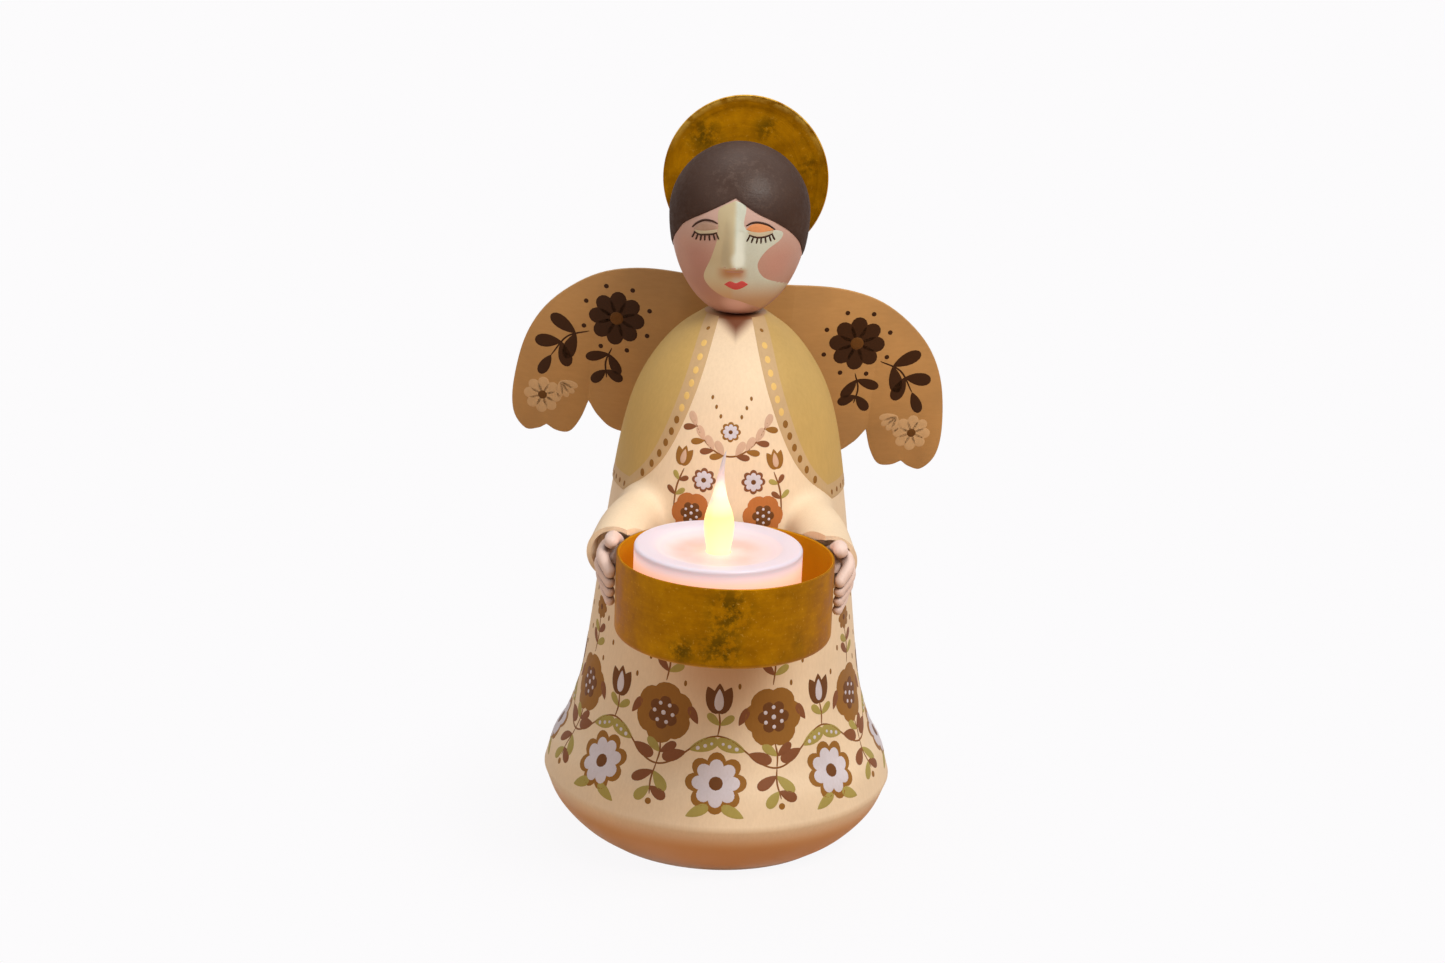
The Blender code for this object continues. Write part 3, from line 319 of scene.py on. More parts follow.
def new_object(name, bm, *paints):
    bmesh.ops.recalc_face_normals(bm, faces=bm.faces)
    mesh = bpy.data.meshes.new(name)
    bm.to_mesh(mesh)
    bm.free()
    for paint in paints:
        mesh.materials.append(paint)
    return add_to_scene(name, mesh)


def finish_piece(made, slot, replaced=None, angle=35.0, place=None):
    """Makes an object a shown piece, which rides on the figure; its slot is not used."""
    if place:
        made.data.transform(place)
    made.data.shade_smooth()
    made.data.set_sharp_from_angle(angle=math.radians(angle))
    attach(made, BODY)
    if replaced:
        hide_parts(replaced)


def boolean(target, operation, *shapes):
    """Joins shapes to an object, or cuts them out of it."""
    whole = bmesh.new()
    for bm in shapes:
        bmesh.ops.recalc_face_normals(bm, faces=bm.faces)
        part = bpy.data.meshes.new("part")
        bm.to_mesh(part)
        bm.free()
        whole.from_mesh(part)
        bpy.data.meshes.remove(part)
    tool = new_object("tool", whole)
    change = target.modifiers.new("change", "BOOLEAN")
    change.operation = operation
    change.use_self = True
    change.object = tool
    result = bpy.data.meshes.new_from_object(target.evaluated_get(bpy.context.evaluated_depsgraph_get()))
    target.modifiers.clear()
    target.data = result
    bpy.data.objects.remove(tool)


# Materials

# Axes along which a distance is counted, and the scale of brush strokes that run in no direction
LEVEL = (1.0, 1.0, 0.0)
UPRIGHT = (1.0, 0.0, 1.0)
EVEN_STROKES = (400.0, 400.0, 400.0)


def rgb(red, green, blue):
    """A colour as it looks on a screen, 0 to 255, as linear values with an alpha of 1."""
    return (*[((c / 255 + 0.055) / 1.055) ** 2.4 for c in (red, green, blue)], 1.0)


def add_node(tree, kind, inputs=None, **settings):
    """A node with its settings, and with each input set to a value or linked to a socket."""
    made = tree.nodes.new("ShaderNode" + kind)
    for name, value in settings.items():
        setattr(made, name, value)
    for name, value in (inputs or {}).items():
        if isinstance(value, bpy.types.NodeSocket):
            tree.links.new(value, made.inputs[name])
        else:
            made.inputs[name].default_value = value
    return made


class Paint:
    """A node material with short names for the nodes that the finishes here share."""

    def __init__(self, name, roughness=0.5, metallic=0.0):
        self.made = bpy.data.materials.new(name)
        self.made.use_nodes = True
        self.tree = self.made.node_tree
        self.shader = self.tree.nodes["Principled BSDF"]
        self.set("Roughness", roughness)
        self.set("Metallic", metallic)
        self.place = self.node("TexCoord").outputs["Object"]

    def node(self, kind, inputs=None, **settings):
        return add_node(self.tree, kind, inputs, **settings)

    def set(self, name, value):
        self.shader.inputs[name].default_value = value

    def feed(self, name, source):
        self.tree.links.new(source, self.shader.inputs[name])

    def stretched(self, scale, centre=(0.0, 0.0, 0.0)):
        shift = [-c * s for c, s in zip(centre, scale)]
        return self.node("Mapping", {"Vector": self.place, "Scale": scale, "Location": shift}).outputs[0]

    def noise(self, scale, detail=4.0, vector=None, rough=0.55):
        inputs = {"Vector": vector or self.place, "Scale": scale, "Detail": detail, "Roughness": rough}
        return self.node("TexNoise", inputs).outputs["Fac"]

    def ramp(self, factor, *stops):
        made = self.node("ValToRGB", {"Fac": factor})
        elements = made.color_ramp.elements
        while len(elements) < len(stops):
            elements.new(0.5)
        for element, (position, colour) in zip(elements, stops):
            element.position = position
            element.color = colour
        return made.outputs["Color"]

    def mix(self, factor, first, second, blend="MIX"):
        inputs = {0: factor, 6: first, 7: second}
        return self.node("Mix", inputs, data_type="RGBA", blend_type=blend).outputs[2]

    def axis(self, name):
        """One coordinate of the place on the object."""
        return self.node("SeparateXYZ", {0: self.place}).outputs[name]

    def span(self, value, low, high, first=0.0, second=1.0):
        """A value moved from one range to another, held at its ends and eased between them."""
        inputs = {"Value": value, "From Min": low, "From Max": high, "To Min": first, "To Max": second}
        return self.node("MapRange", inputs, interpolation_type="SMOOTHSTEP").outputs[0]

    def fall(self, value, low, high):
        """1 below a range and 0 above it."""
        return self.span(value, low, high, 1.0, 0.0)

    def near(self, centre, inner, outer):
        """1 inside a radius round a place, falling to 0 at an outer radius."""
        made = self.node("VectorMath", {0: self.place, 1: centre}, operation="DISTANCE")
        return self.fall(made.outputs["Value"], inner, outer)

    def away(self, scale, centre):
        """The distance from a place, counted along the axes that the scale keeps."""
        offset = self.stretched(scale, centre)
        return self.node("VectorMath", {0: offset}, operation="LENGTH").outputs["Value"]

    def math(self, operation, first, second=0.0):
        return self.node("Math", {0: first, 1: second}, operation=operation).outputs[0]

    def creases(self, reach):
        """0 deep in a crease and 1 on an open surface, from ambient occlusion; it masks painted shade."""
        made = self.node("AmbientOcclusion", {"Distance": reach}, samples=6, only_local=True)
        return made.outputs["AO"]

    def base(self):
        """What the colour of the surface is fed by."""
        return self.shader.inputs["Base Color"].links[0].from_socket

    def colour(self, source):
        self.feed("Base Color", source)

    def tint(self, masks, colour, share=1.0):
        """Mixes a colour in where all the masks are bright."""
        total = share
        for mask in masks:
            total = self.math("MULTIPLY", total, mask)
        self.colour(self.mix(total, self.base(), colour))

    def roughness(self, factor, low, high):
        self.feed("Roughness", self.span(factor, 0.3, 0.7, low, high))

    def bump(self, height, depth):
        made = self.node("Bump", {"Height": height, "Strength": 1.0, "Distance": depth})
        self.feed("Normal", made.outputs["Normal"])


def shaded(colour, share):
    """A colour made darker or lighter by a share."""
    return (*[min(1.0, c * share) for c in colour[:3]], 1.0)


def hand_paint(name, colour, roughness=0.6, mottle=0.10, stroke=(300.0, 300.0, 90.0)):
    """Matt brush paint: soft mottling, faint strokes along one direction and a fine grain."""
    paint = Paint(name, roughness)
    paint.set("Specular IOR Level", 0.35)
    soft = paint.noise(55.0, 3.0)
    strokes = paint.noise(6.0, 5.0, paint.stretched(stroke), 0.65)
    tone = paint.ramp(soft, (0.3, shaded(colour, 1.0 - mottle)), (0.7, shaded(colour, 1.0 + mottle)))
    streak = paint.ramp(strokes, (0.35, (0.93, 0.92, 0.90, 1.0)), (0.65, (1.0, 1.0, 1.0, 1.0)))
    paint.colour(paint.mix(0.8, tone, streak, "MULTIPLY"))
    paint.roughness(soft, roughness - 0.06, roughness + 0.08)
    paint.bump(paint.mix(0.5, strokes, paint.noise(1700.0, 3.0)), 0.02 * MM)
    return paint


def gown_cream():
    """Cream, with painted shade: warmer under the hem, a painted shadow below the dish, and the painted
    shadow of the chin on the neck's top and in a V below it.
    """
    paint = hand_paint("gown_cream", rgb(240, 219, 190), 0.62, 0.05)
    height = paint.axis("Z")
    # Painted shade under the hem, where the gown turns down towards the floor.
    paint.tint([paint.fall(height, 0.6 * HEM_HEIGHT, 1.02 * HEM_HEIGHT)], rgb(214, 160, 106))
    # Painted shadow of the dish on the skirt below it.
    below = (0.0, -gown_radius(0.8 * dish_low.z), 0.8 * dish_low.z)
    paint.tint([paint.near(below, 3 * MM, 20 * MM)], rgb(190, 138, 96), 0.6)
    # Painted shade of the chin: on the flat top round the neck, darkest near its middle under the chin, and
    # a dark V down the front below it.
    top = paint.span(height, neck_height - 0.6 * MM, neck_height - 0.2 * MM)
    paint.tint([top], rgb(176, 132, 90), 0.8)
    middle = paint.fall(paint.away(LEVEL, (0.0, 0.0, 0.0)), 3.6 * MM, 5.4 * MM)
    paint.tint([top, middle], rgb(92, 48, 26))
    aside = paint.math("ABSOLUTE", paint.math("SUBTRACT", paint.axis("X"), 0.2 * MM))
    down = paint.math("MULTIPLY", paint.math("SUBTRACT", neck_height, height), 1.3)
    point = paint.fall(paint.math("ADD", aside, down), 2.0 * MM, 7.0 * MM)
    paint.tint([point, paint.fall(paint.axis("Y"), -3 * MM, 0.0)], rgb(108, 54, 26), 0.97)
    return paint.made


def gold_leaf(name, strokes, patches, tone):
    """Aged gold leaf: mottled, with worn dark patches, fine strokes and bright flecks, which are painted
    glints.
    """
    paint = Paint(name, 0.46, 0.5)
    paint.set("Specular Tint", rgb(226, 164, 60))
    paint.set("Specular IOR Level", 0.2)
    line = paint.noise(1.0, 4.0, strokes(paint), 0.6)
    mottle = paint.noise(170.0, 5.0, None, 0.62)
    base = paint.ramp(
        mottle, (0.32, shaded(rgb(150, 98, 3), tone)), (0.5, shaded(rgb(170, 114, 4), tone)),
        (0.68, shaded(rgb(188, 130, 8), tone)))
    streak = paint.ramp(line, (0.3, (0.86, 0.86, 0.86, 1.0)), (0.7, (1.0, 1.0, 1.0, 1.0)))
    paint.colour(paint.mix(1.0, base, streak, "MULTIPLY"))
    grit = paint.span(paint.noise(330.0, 7.0, None, 0.75), 0.40, 0.58)
    worn = paint.span(paint.noise(60.0, 3.0), 0.56, 0.70)
    paint.tint([worn, grit], rgb(92, 70, 8), 0.5)
    for centre, outer in patches:
        paint.tint([paint.near(centre, 0.1 * outer, outer), grit], rgb(70, 54, 6), 0.85)
    # Painted glints: bright flecks along the strokes.
    paint.tint([paint.span(paint.noise(1500.0, 3.0), 0.60, 0.74), line], rgb(226, 176, 76), 0.5)
    paint.roughness(mottle, 0.40, 0.56)
    paint.bump(paint.mix(0.5, line, paint.noise(900.0, 4.0)), 0.05 * MM)
    return paint


def dish_gold():
    """The dish's gold: its inside has painted light, a lighter tint and a faint glow, for the light of the
    tea light.
    """
    front = dish_axis.y - dish_radius
    spots = ((1.4, 0.0, -5.0, 8.0), (-0.5, 0.0, -14.0, 8.0), (-9.0, 1.5, -15.0, 5.0))
    patches = [((x * MM, front + y * MM, dish_rim + z * MM), r * MM) for x, y, z, r in spots]
    paint = gold_leaf("dish_gold", level_strokes, patches, 0.94)
    # Painted light inside the dish: a lighter tint on its inner wall and a faint glow, where the tea light
    # shines on it.
    away = paint.away(LEVEL, (dish_axis.x, dish_axis.y, 0.0))
    inside = paint.fall(away, dish_radius - 0.7 * DISH_WALL, dish_radius - 0.4 * DISH_WALL)
    raised = paint.span(paint.axis("Z"), dish_low.z, dish_low.z + 2 * MM)
    paint.tint([inside, raised], rgb(200, 142, 24), 0.8)
    paint.set("Emission Color", rgb(216, 156, 12))
    paint.feed("Emission Strength", paint.math("MULTIPLY", inside, 0.09))
    return paint.made


def halo_gold():
    """The halo's gold, with a painted highlight along the upper rim."""
    spots = ((-0.52, 0.48, 0.34), (0.23, 0.60, 0.26), (0.74, 0.17, 0.22))
    around = head_place() @ seat_place() @ Matrix.Translation((0.0, -HALO_DISHING, HALO_RISE))
    patches = [
        (around @ (HALO_RADIUS * Vector((x, 0.0, z))), reach * HALO_RADIUS) for x, z, reach in spots
    ]
    paint = gold_leaf("halo_gold", ring_strokes, patches, 1.04)
    centre = around.translation
    # Painted highlight: broken bright glints along the upper rim.
    rim = paint.span(paint.away(UPRIGHT, centre), 0.90 * HALO_RADIUS, 0.98 * HALO_RADIUS)
    high = paint.span(paint.axis("Z"), centre.z + 0.2 * HALO_RADIUS, centre.z + 0.7 * HALO_RADIUS)
    rim_glint = paint.span(paint.noise(420.0, 5.0), 0.30, 0.58)
    paint.tint([rim, high, rim_glint], rgb(232, 190, 84), 0.85)
    return paint.made


def level_strokes(paint):
    return paint.stretched((220.0, 220.0, 1500.0))


def ring_strokes(paint):
    """Fine strokes round the halo's middle."""
    away = paint.away(UPRIGHT, (0.0, 0.0, head_height + HALO_RISE))
    sources = ((away, 2600.0), (paint.axis("X"), 90.0), (paint.axis("Z"), 90.0))
    inputs = {k: paint.math("MULTIPLY", source, scale) for k, (source, scale) in enumerate(sources)}
    return paint.node("CombineXYZ", inputs).outputs[0]


def wax_white():
    """The tea light's shell: lilac at the rim, and peach where its own light shines through."""
    paint = Paint("wax_white", 0.38)
    height = paint.axis("Z")
    side = paint.ramp(
        paint.span(height, shell_low.z, shell_high.z),
        (0.82, rgb(250, 200, 174)), (0.92, rgb(248, 212, 196)), (1.0, rgb(214, 207, 222)))
    middle = (candle_axis.x, candle_axis.y, pool_top)
    pool = paint.near(middle, 0.55 * POOL_RADIUS, 1.2 * POOL_RADIUS)
    soft = paint.ramp(paint.noise(150.0, 4.0), (0.3, rgb(228, 184, 178)), (0.7, rgb(234, 198, 200)))
    paint.colour(paint.mix(pool, side, soft))
    away = paint.away(LEVEL, middle)
    ring = paint.span(away, 0.98 * POOL_RADIUS, 1.04 * POOL_RADIUS)
    paint.tint([ring, paint.fall(away, 1.06 * POOL_RADIUS, 1.14 * POOL_RADIUS)], rgb(250, 222, 224), 0.3)
    paint.set("Subsurface Weight", 0.2)
    paint.set("Subsurface Radius", (4.0 * MM, 2.0 * MM, 1.5 * MM))
    paint.set("Subsurface Scale", 1.0)
    # Painted glow: an emission in the shell's own colours stands for its light shining through, less near
    # the top and over the pool, and stronger towards the left, where it lifts that side out of the dish's
    # shade.
    paint.feed("Emission Color", paint.base())
    left = candle_axis.x - candle_radius
    glow = paint.span(height, shell_high.z - 2.2 * MM, shell_high.z - 0.4 * MM, 0.42, 0.14)
    glow = paint.math("MULTIPLY", glow, paint.span(pool, 0.0, 1.0, 1.0, 0.4))
    glow = paint.math("MULTIPLY", glow, paint.span(paint.axis("X"), left, candle_axis.x, 1.3, 1.0))
    paint.feed("Emission Strength", glow)
    paint.bump(paint.noise(700.0, 3.0), 0.015 * MM)
    return paint.made


def flame_material():
    """Yellow and bright below, white in the middle, and a thin grey tip."""
    paint = Paint("flame_lit", 0.28)
    height = paint.span(paint.axis("Z"), pool_top, flame_top)
    paint.colour(paint.ramp(
        height, (0.0, rgb(255, 240, 176)), (0.30, rgb(255, 240, 150)), (0.46, rgb(255, 238, 196)),
        (0.60, rgb(250, 228, 220)), (0.76, rgb(214, 208, 222)), (1.0, rgb(214, 204, 210))))
    paint.feed("Emission Color", paint.base())
    paint.feed("Emission Strength", paint.span(height, 0.25, 0.80, 0.62, 0.14))
    paint.feed("Alpha", paint.span(height, 0.50, 0.90, 1.0, 0.7))
    return paint.made


def steel():
    paint = Paint("plated_steel", 0.32, 1.0)
    brushed = paint.noise(1.0, 4.0, paint.stretched((300.0, 3000.0, 300.0)))
    paint.colour(paint.ramp(brushed, (0.3, rgb(170, 164, 156)), (0.7, rgb(206, 202, 196))))
    paint.roughness(brushed, 0.25, 0.42)
    return paint.made


def plain_plastic(name, colour, roughness):
    paint = Paint(name, roughness)
    fine = paint.noise(1400.0, 3.0)
    paint.colour(paint.ramp(fine, (0.3, shaded(colour, 0.94)), (0.7, shaded(colour, 1.04))))
    paint.bump(fine, 0.01 * MM)
    return paint.made


# Gown, sleeves and mantle

def gown_outline():
    """The gown's outside as (radius, height), from the hem up to the neck."""
    hem, skirt = (HEM_RADIUS, HEM_HEIGHT), (SKIRT_RADIUS, SKIRT_HEIGHT)
    waist, chest = (WAIST_RADIUS, WAIST_HEIGHT), (CHEST_RADIUS, CHEST_HEIGHT)
    shoulder, neck = (SHOULDER_RADIUS, SHOULDER_HEIGHT), (NECK_RADIUS, neck_height)
    flare = [part_way(hem, skirt, across, up) for across, up in ((0.22, 0.26), (0.54, 0.46), (0.79, 0.70))]
    rise = [part_way(chest, shoulder, across, up) for across, up in ((0.24, 0.42), (0.55, 0.73))]
    return smooth([
        hem, *flare, skirt, part_way(skirt, waist, 0.48, 0.45), waist, chest, *rise, shoulder,
        part_way(shoulder, neck, 0.44, 0.55), neck,
    ], 8)


OUTLINE = gown_outline()
RADII = [point.x for point in OUTLINE]
HEIGHTS = [point.y for point in OUTLINE]
LENGTHS = [0.0]
for start, stop in zip(OUTLINE, OUTLINE[1:]):
    LENGTHS.append(LENGTHS[-1] + (stop - start).length)


def gown_radius(height):
    return interpolate(HEIGHTS, RADII, height)


def climb(height, way):
    """The height reached from a height by going a way up along the gown's outline."""
    return interpolate(LENGTHS, HEIGHTS, interpolate(HEIGHTS, LENGTHS, height) + way)


def sleeve_path(side):
    """The sleeve's middle line, from inside the shoulder to the cuff's mouth."""
    mouth = Vector((side * (dish_radius + CUFF_OUT[side]), dish_axis.y + CUFF_BACK, dish_rim - CUFF_DROP))
    reach = gown_radius(dish_rim)
    root = Vector((side * 0.5 * reach, -0.2 * reach, dish_rim - SLEEVE_ROOT_DROP))
    elbow = root.lerp(mouth, 0.5)
    elbow.x = between(root.x, mouth.x, 0.72)
    elbow.z = dish_rim - 0.7 * CUFF_DROP
    return smooth([root, elbow, mouth], 12)


def inside_cuff(side):
    """The middle of the cuff's mouth, and the direction from it into the sleeve."""
    path = SLEEVES[side][0]
    return path[-1], (path[-2] - path[-1]).normalized()


def sleeve_line(side):
    path = sleeve_path(side)
    radii = [between(SLEEVE_ROOT_RADIUS, CUFF_RADIUS, i / (len(path) - 1)) for i in range(len(path))]
    return path, radii


SLEEVES = {side: sleeve_line(side) for side in (-1, 1)}


def sleeve_gap(place):
    """How far a place lies outside the sleeve on its side."""
    path, radii = SLEEVES[-1 if place.x < 0 else 1]
    gaps = []
    for start, stop, wide, narrow in zip(path, path[1:], radii, radii[1:]):
        along = stop - start
        share = min(1.0, max(0.0, (place - start).dot(along) / along.length_squared))
        gaps.append((place - start - along * share).length - between(wide, narrow, share))
    return min(gaps)


def cloth_gap(place):
    """How far a place lies outside the gown and its sleeves, with a soft fillet between them."""
    body = math.hypot(place.x, place.y) - gown_radius(place.z)
    sleeve = sleeve_gap(place)
    share = min(1.0, max(0.0, 0.5 + 0.5 * (sleeve - body) / SEAM_FILLET))
    return between(sleeve, body, share) - SEAM_FILLET * share * (1.0 - share)


def near_sleeve(place):
    level = abs(place.z - dish_rim) < SEAM_HEIGHT / 2
    return level and abs(place.x) > SEAM_MIDDLE and place.y < SEAM_BACK


def on_gown(angle, height, lift=0.0):
    """A point on the gown. The angle is counted from the front, in radians, towards +X."""
    out = Vector((math.sin(angle), -math.cos(angle), 0.0))
    place = out * gown_radius(height) + Vector((0.0, 0.0, height))
    if near_sleeve(place):
        place += out * min(SEAM_LIFT, max(0.0, -cloth_gap(place)))
    return place + out * lift


def lay_fillet(made):
    """Moves the points of the gown near its sleeves onto the soft fillet between them."""
    bm = bmesh.new()
    bm.from_mesh(made.data)
    picked = []
    for vert in bm.verts:
        outside = math.hypot(vert.co.x, vert.co.y) > gown_radius(vert.co.z) - 0.5 * MM
        behind = vert.co.y > inside_cuff(1)[0].y + 2 * CUFF_DEPTH
        if outside and behind and near_sleeve(vert.co) and cloth_gap(vert.co) < -0.01 * MM:
            picked.append(vert)
    bmesh.ops.remove_doubles(bm, verts=picked, dist=0.25 * MM)
    picked = [vert for vert in picked if vert.is_valid]
    probe = 0.05 * MM
    for _ in range(4):
        for vert in picked:
            gap = cloth_gap(vert.co)
            steps = [Vector((probe if axis == k else 0.0 for k in range(3))) for axis in range(3)]
            slope = Vector([(cloth_gap(vert.co + step) - gap) / probe for step in steps])
            if slope.length > 0.1:
                vert.co -= slope * (gap / slope.length_squared)
    bm.to_mesh(made.data)
    bm.free()


def wing_place():
    return Matrix.Translation((0.0, WING_SEAT, WING_PIVOT)) @ tilted(WING_LEAN, "X") @ tilted(WING_ROLL, "Y")


def wing_sheet_place():
    return wing_place() @ Matrix.Translation((0.0, FIT, 0.0))


def wing_seat_block():
    """A cutter for the flat seat behind the back."""
    bm = bmesh.new()
    low = Vector((-HEM_RADIUS, 0.0, WING_LOW - FIT - WING_PIVOT))
    high = Vector((HEM_RADIUS, HEM_RADIUS, neck_height - WING_PIVOT))
    size = Matrix.Diagonal((*(high - low), 1.0))
    bmesh.ops.create_cube(bm, size=1.0, matrix=Matrix.Translation((low + high) / 2) @ size)
    return move(bm, wing_place())


def wing_holes(low, high):
    """Cutters for the wings' two screws, in the wings' own frame."""
    spots = [(side * WING_SCREW_SPACING / 2, 0.0, -WING_SCREW_DROP) for side in (-1, 1)]
    return [along_y(cylinder(SCREW_RADIUS + FIT, low, high), spot) for spot in spots]


def dish_screw_place():
    return Vector((0.0, dish_high.y - DISH_WALL, dish_low.z + DISH_FLOOR + DISH_SCREW_RISE))


def make_gown():
    """The gown with its sleeves, and with bores for whatever stands in it or is screwed to it."""
    foot, hem = (FOOT_RADIUS, 0.0), (HEM_RADIUS, HEM_HEIGHT)
    bowl = smooth([foot, part_way(foot, hem, 0.41, 0.24), part_way(foot, hem, 0.79, 0.60), hem])[:-1]
    body = revolve([(0.0, 0.0), *bowl, *OUTLINE, (0.0, neck_height)])
    gown = new_object("gown", refined(body), gown_cream())
    boolean(gown, "UNION", *[tube(path, radii, 48) for path, radii in SLEEVES.values()])
    lay_fillet(gown)
    cuts = []
    for side in SLEEVES:
        mouth, inward = inside_cuff(side)
        hollow = [mouth - inward * CUFF_WALL, mouth + inward * CUFF_DEPTH]
        cuts.append(tube(hollow, [CUFF_RADIUS - CUFF_WALL, CUFF_RADIUS - 2 * CUFF_WALL], 48))
        socket = [mouth + inward * (CUFF_DEPTH - FIT), mouth + inward * (WRIST_LENGTH + FIT)]
        cuts.append(tube(socket, [WRIST_RADIUS + FIT] * 2, 24))
    cuts.append(dish_space(dish_rim + CHEST_HEIGHT))
    cuts.append(cylinder(PEG_RADIUS + FIT, neck_height - PEG_LENGTH - FIT, neck_height + FIT))
    cuts.append(wing_seat_block())
    cuts += [move(hole, wing_place()) for hole in wing_holes(-SCREW_LENGTH - FIT, FIT)]
    cuts.append(along_y(cylinder(SCREW_RADIUS + FIT, 0.0, SCREW_LENGTH + dish_radius), dish_screw_place()))
    boolean(gown, "DIFFERENCE", *cuts)
    finish_piece(gown, "gown", "gown_body", 40.0)


def dish_space(top):
    """A cutter that keeps the place of the dish free, up to a height."""
    return move(cylinder(dish_radius + FIT, dish_low.z - FIT, top, 192), (0.0, dish_axis.y, 0.0))


def refined(bm):
    """Halves the faces where the sleeves grow out of the gown."""
    near = [edge for edge in bm.edges if all(near_sleeve(v.co) and v.co.y < 0 for v in edge.verts)]
    bmesh.ops.subdivide_edges(bm, edges=near, cuts=1, use_grid_fill=True)
    return bm


def mantle_edge():
    """The mantle's front edge as (x, z), from the lower edge up to the neck."""
    low, high = (MANTLE_LOW_GAP, MANTLE_LOW), (MANTLE_NECK_GAP, neck_height)
    return smooth([high, part_way(high, low, 0.23, 0.38), part_way(high, low, 0.55, 0.74), low], 12)[::-1]


MANTLE_EDGE = mantle_edge()


def mantle_angle(height, inset=0.0):
    """The angle from the front at which the mantle starts, or a given distance inside its edge."""
    reach = gown_radius(height)
    across = interpolate([point.y for point in MANTLE_EDGE], [point.x for point in MANTLE_EDGE], height)
    return math.asin(min(0.999, across / reach)) + inset / reach


def make_mantle():
    """A skin over the shoulders, with a painted edging down its front and along its lower edge."""
    low = MANTLE_LOW + FIT
    rows = []
    for level in range(85):
        height = between(low, neck_height - 0.05 * MM, level / 84)
        edging = [min(mantle_angle(height, EDGING_WIDTH * k / 4), 0.9 * math.pi) for k in range(5)]
        back = [between(edging[-1], math.tau - edging[-1], k / 150) for k in range(1, 150)]
        angles = [*edging, *back, *[math.tau - angle for angle in reversed(edging)]]
        row = []
        for angle in angles:
            proud = -0.1 * MM if angle in (angles[0], angles[-1]) or level == 0 else MANTLE_PROUD
            row.append((on_gown(angle, height, proud), on_gown(angle, height, -0.8 * MM)))
        rows.append(row)
    bm = bmesh.new()
    add_sheet(bm, rows)
    olive = mantle_paint("olive", (198, 166, 100))
    edging = mantle_paint("edging", (200, 170, 128))
    mantle = new_object("mantle", bm, olive, edging)
    for face in mantle.data.polygons:
        centre = face.center
        inside = abs(math.atan2(centre.x, -centre.y)) - mantle_angle(centre.z)
        if inside * gown_radius(centre.z) < EDGING_WIDTH or centre.z < low + EDGING_WIDTH:
            face.material_index = 1
    boolean(mantle, "DIFFERENCE", wing_seat_block())
    finish_piece(mantle, "gown", None, 40.0)


def mantle_paint(name, colour):
    return hand_paint(f"mantle_{name}", rgb(*colour), 0.62, 0.07, (220.0, 220.0, 60.0)).made


# Head, hair and halo

def head_place():
    return Matrix.Translation((0.0, 0.0, head_height)) @ tilted(HEAD_TURN, "Z")


def egg_height(turn):
    """The height on the head's outline at an angle down from the crown."""
    return (CROWN_HEIGHT if turn < math.pi / 2 else CHIN_DEPTH) * math.cos(turn)


def egg_radius(height):
    """The head's radius at a height above its widest circle."""
    half = CROWN_HEIGHT if height > 0 else CHIN_DEPTH
    return HEAD_RADIUS * math.sqrt(max(0.0, 1.0 - (height / half) ** 2))


def nose_rise(x, height):
    """How far the nose stands out of the egg at a point of the face."""
    below = (NOSE_TIP - height) / NOSE_UNDERSIDE
    above = (height - NOSE_TIP) / NOSE_LENGTH
    if below >= 1.0 or above >= 1.0:
        return 0.0
    proud = NOSE_PROUD * ((1.0 - below) ** 0.7 if below > 0.0 else (1.0 - above) ** 0.85)
    share = min(1.0, abs(x) / between(NOSE_LOW_WIDTH, NOSE_TOP_WIDTH, above))
    return proud * (1.0 - share**1.6) ** 1.2


def on_face(x, height, lift=0.0):
    """A point on the face in the head's own frame, from its place as seen from the front."""
    reach = egg_radius(height)
    depth = math.sqrt(max(0.0, reach**2 - x**2))
    place = Vector((x, -depth - nose_rise(x, height), height))
    out = Vector((x, -depth, height * (reach / CHIN_DEPTH) ** 2 if height < 0 else height)).normalized()
    return place + out * lift


def make_head():
    """The egg with its nose, cut flat below, on a peg."""
    rows = 96
    bm = bmesh.new()
    rings = []
    for row in range(1, rows):
        height = egg_height(math.pi * row / rows)
        ring = []
        for turn in turns(224):
            x, y = egg_radius(height) * math.sin(turn), -egg_radius(height) * math.cos(turn)
            out = nose_rise(x, height) if y < 0 else 0.0
            ring.append(bm.verts.new((x, y - out, height)))
        rings.append(ring)
    close_rings(bm, rings, (0.0, 0.0, CROWN_HEIGHT), (0.0, 0.0, -CHIN_DEPTH))
    head = new_object("head_form", bm, skin_rose())
    boolean(head, "DIFFERENCE", cylinder(2 * HEAD_RADIUS, -2 * CHIN_DEPTH, -HEAD_REST, 48))
    peg = cylinder(PEG_RADIUS, -HEAD_REST - 2 * FIT - PEG_LENGTH, -HEAD_REST + PEG_RADIUS)
    boolean(head, "UNION", peg)
    hole = along_y(cylinder(NAIL_RADIUS + FIT, -NAIL_LENGTH - FIT, FIT), NAIL_SPOT)
    boolean(head, "DIFFERENCE", halo_recess(), move(hole, seat_place()))
    finish_piece(head, "head_paint", "head", 50.0, head_place())


def hair_height(turn):
    """The hair's lower edge at an angle from the front, in degrees, above the head's widest circle."""
    turn = (turn + 180.0) % 360.0 - 180.0
    angles, heights = HAIRLINE_RIGHT if turn >= 0 else HAIRLINE_LEFT
    return interpolate(angles, heights, abs(turn))


def hairline(*points):
    """A curve through pairs of an angle from the front, in degrees, and a height in millimetres."""
    curve = smooth([(angle, height * MM) for angle, height in points], 8)
    return [point.x for point in curve], [point.y for point in curve]


HAIR_BACK = ((100, -10.5), (130, -15), (180, -15))
HAIRLINE_RIGHT = hairline((0, 6.1), (18, 2.9), (34, 0.7), (50, -1.9), (68, -5.5), (80, -8.2), *HAIR_BACK)
HAIRLINE_LEFT = hairline((0, 6.1), (13, 4.1), (26, 2.1), (47, -1.0), (58, -3.5), (76, -7.0), *HAIR_BACK)


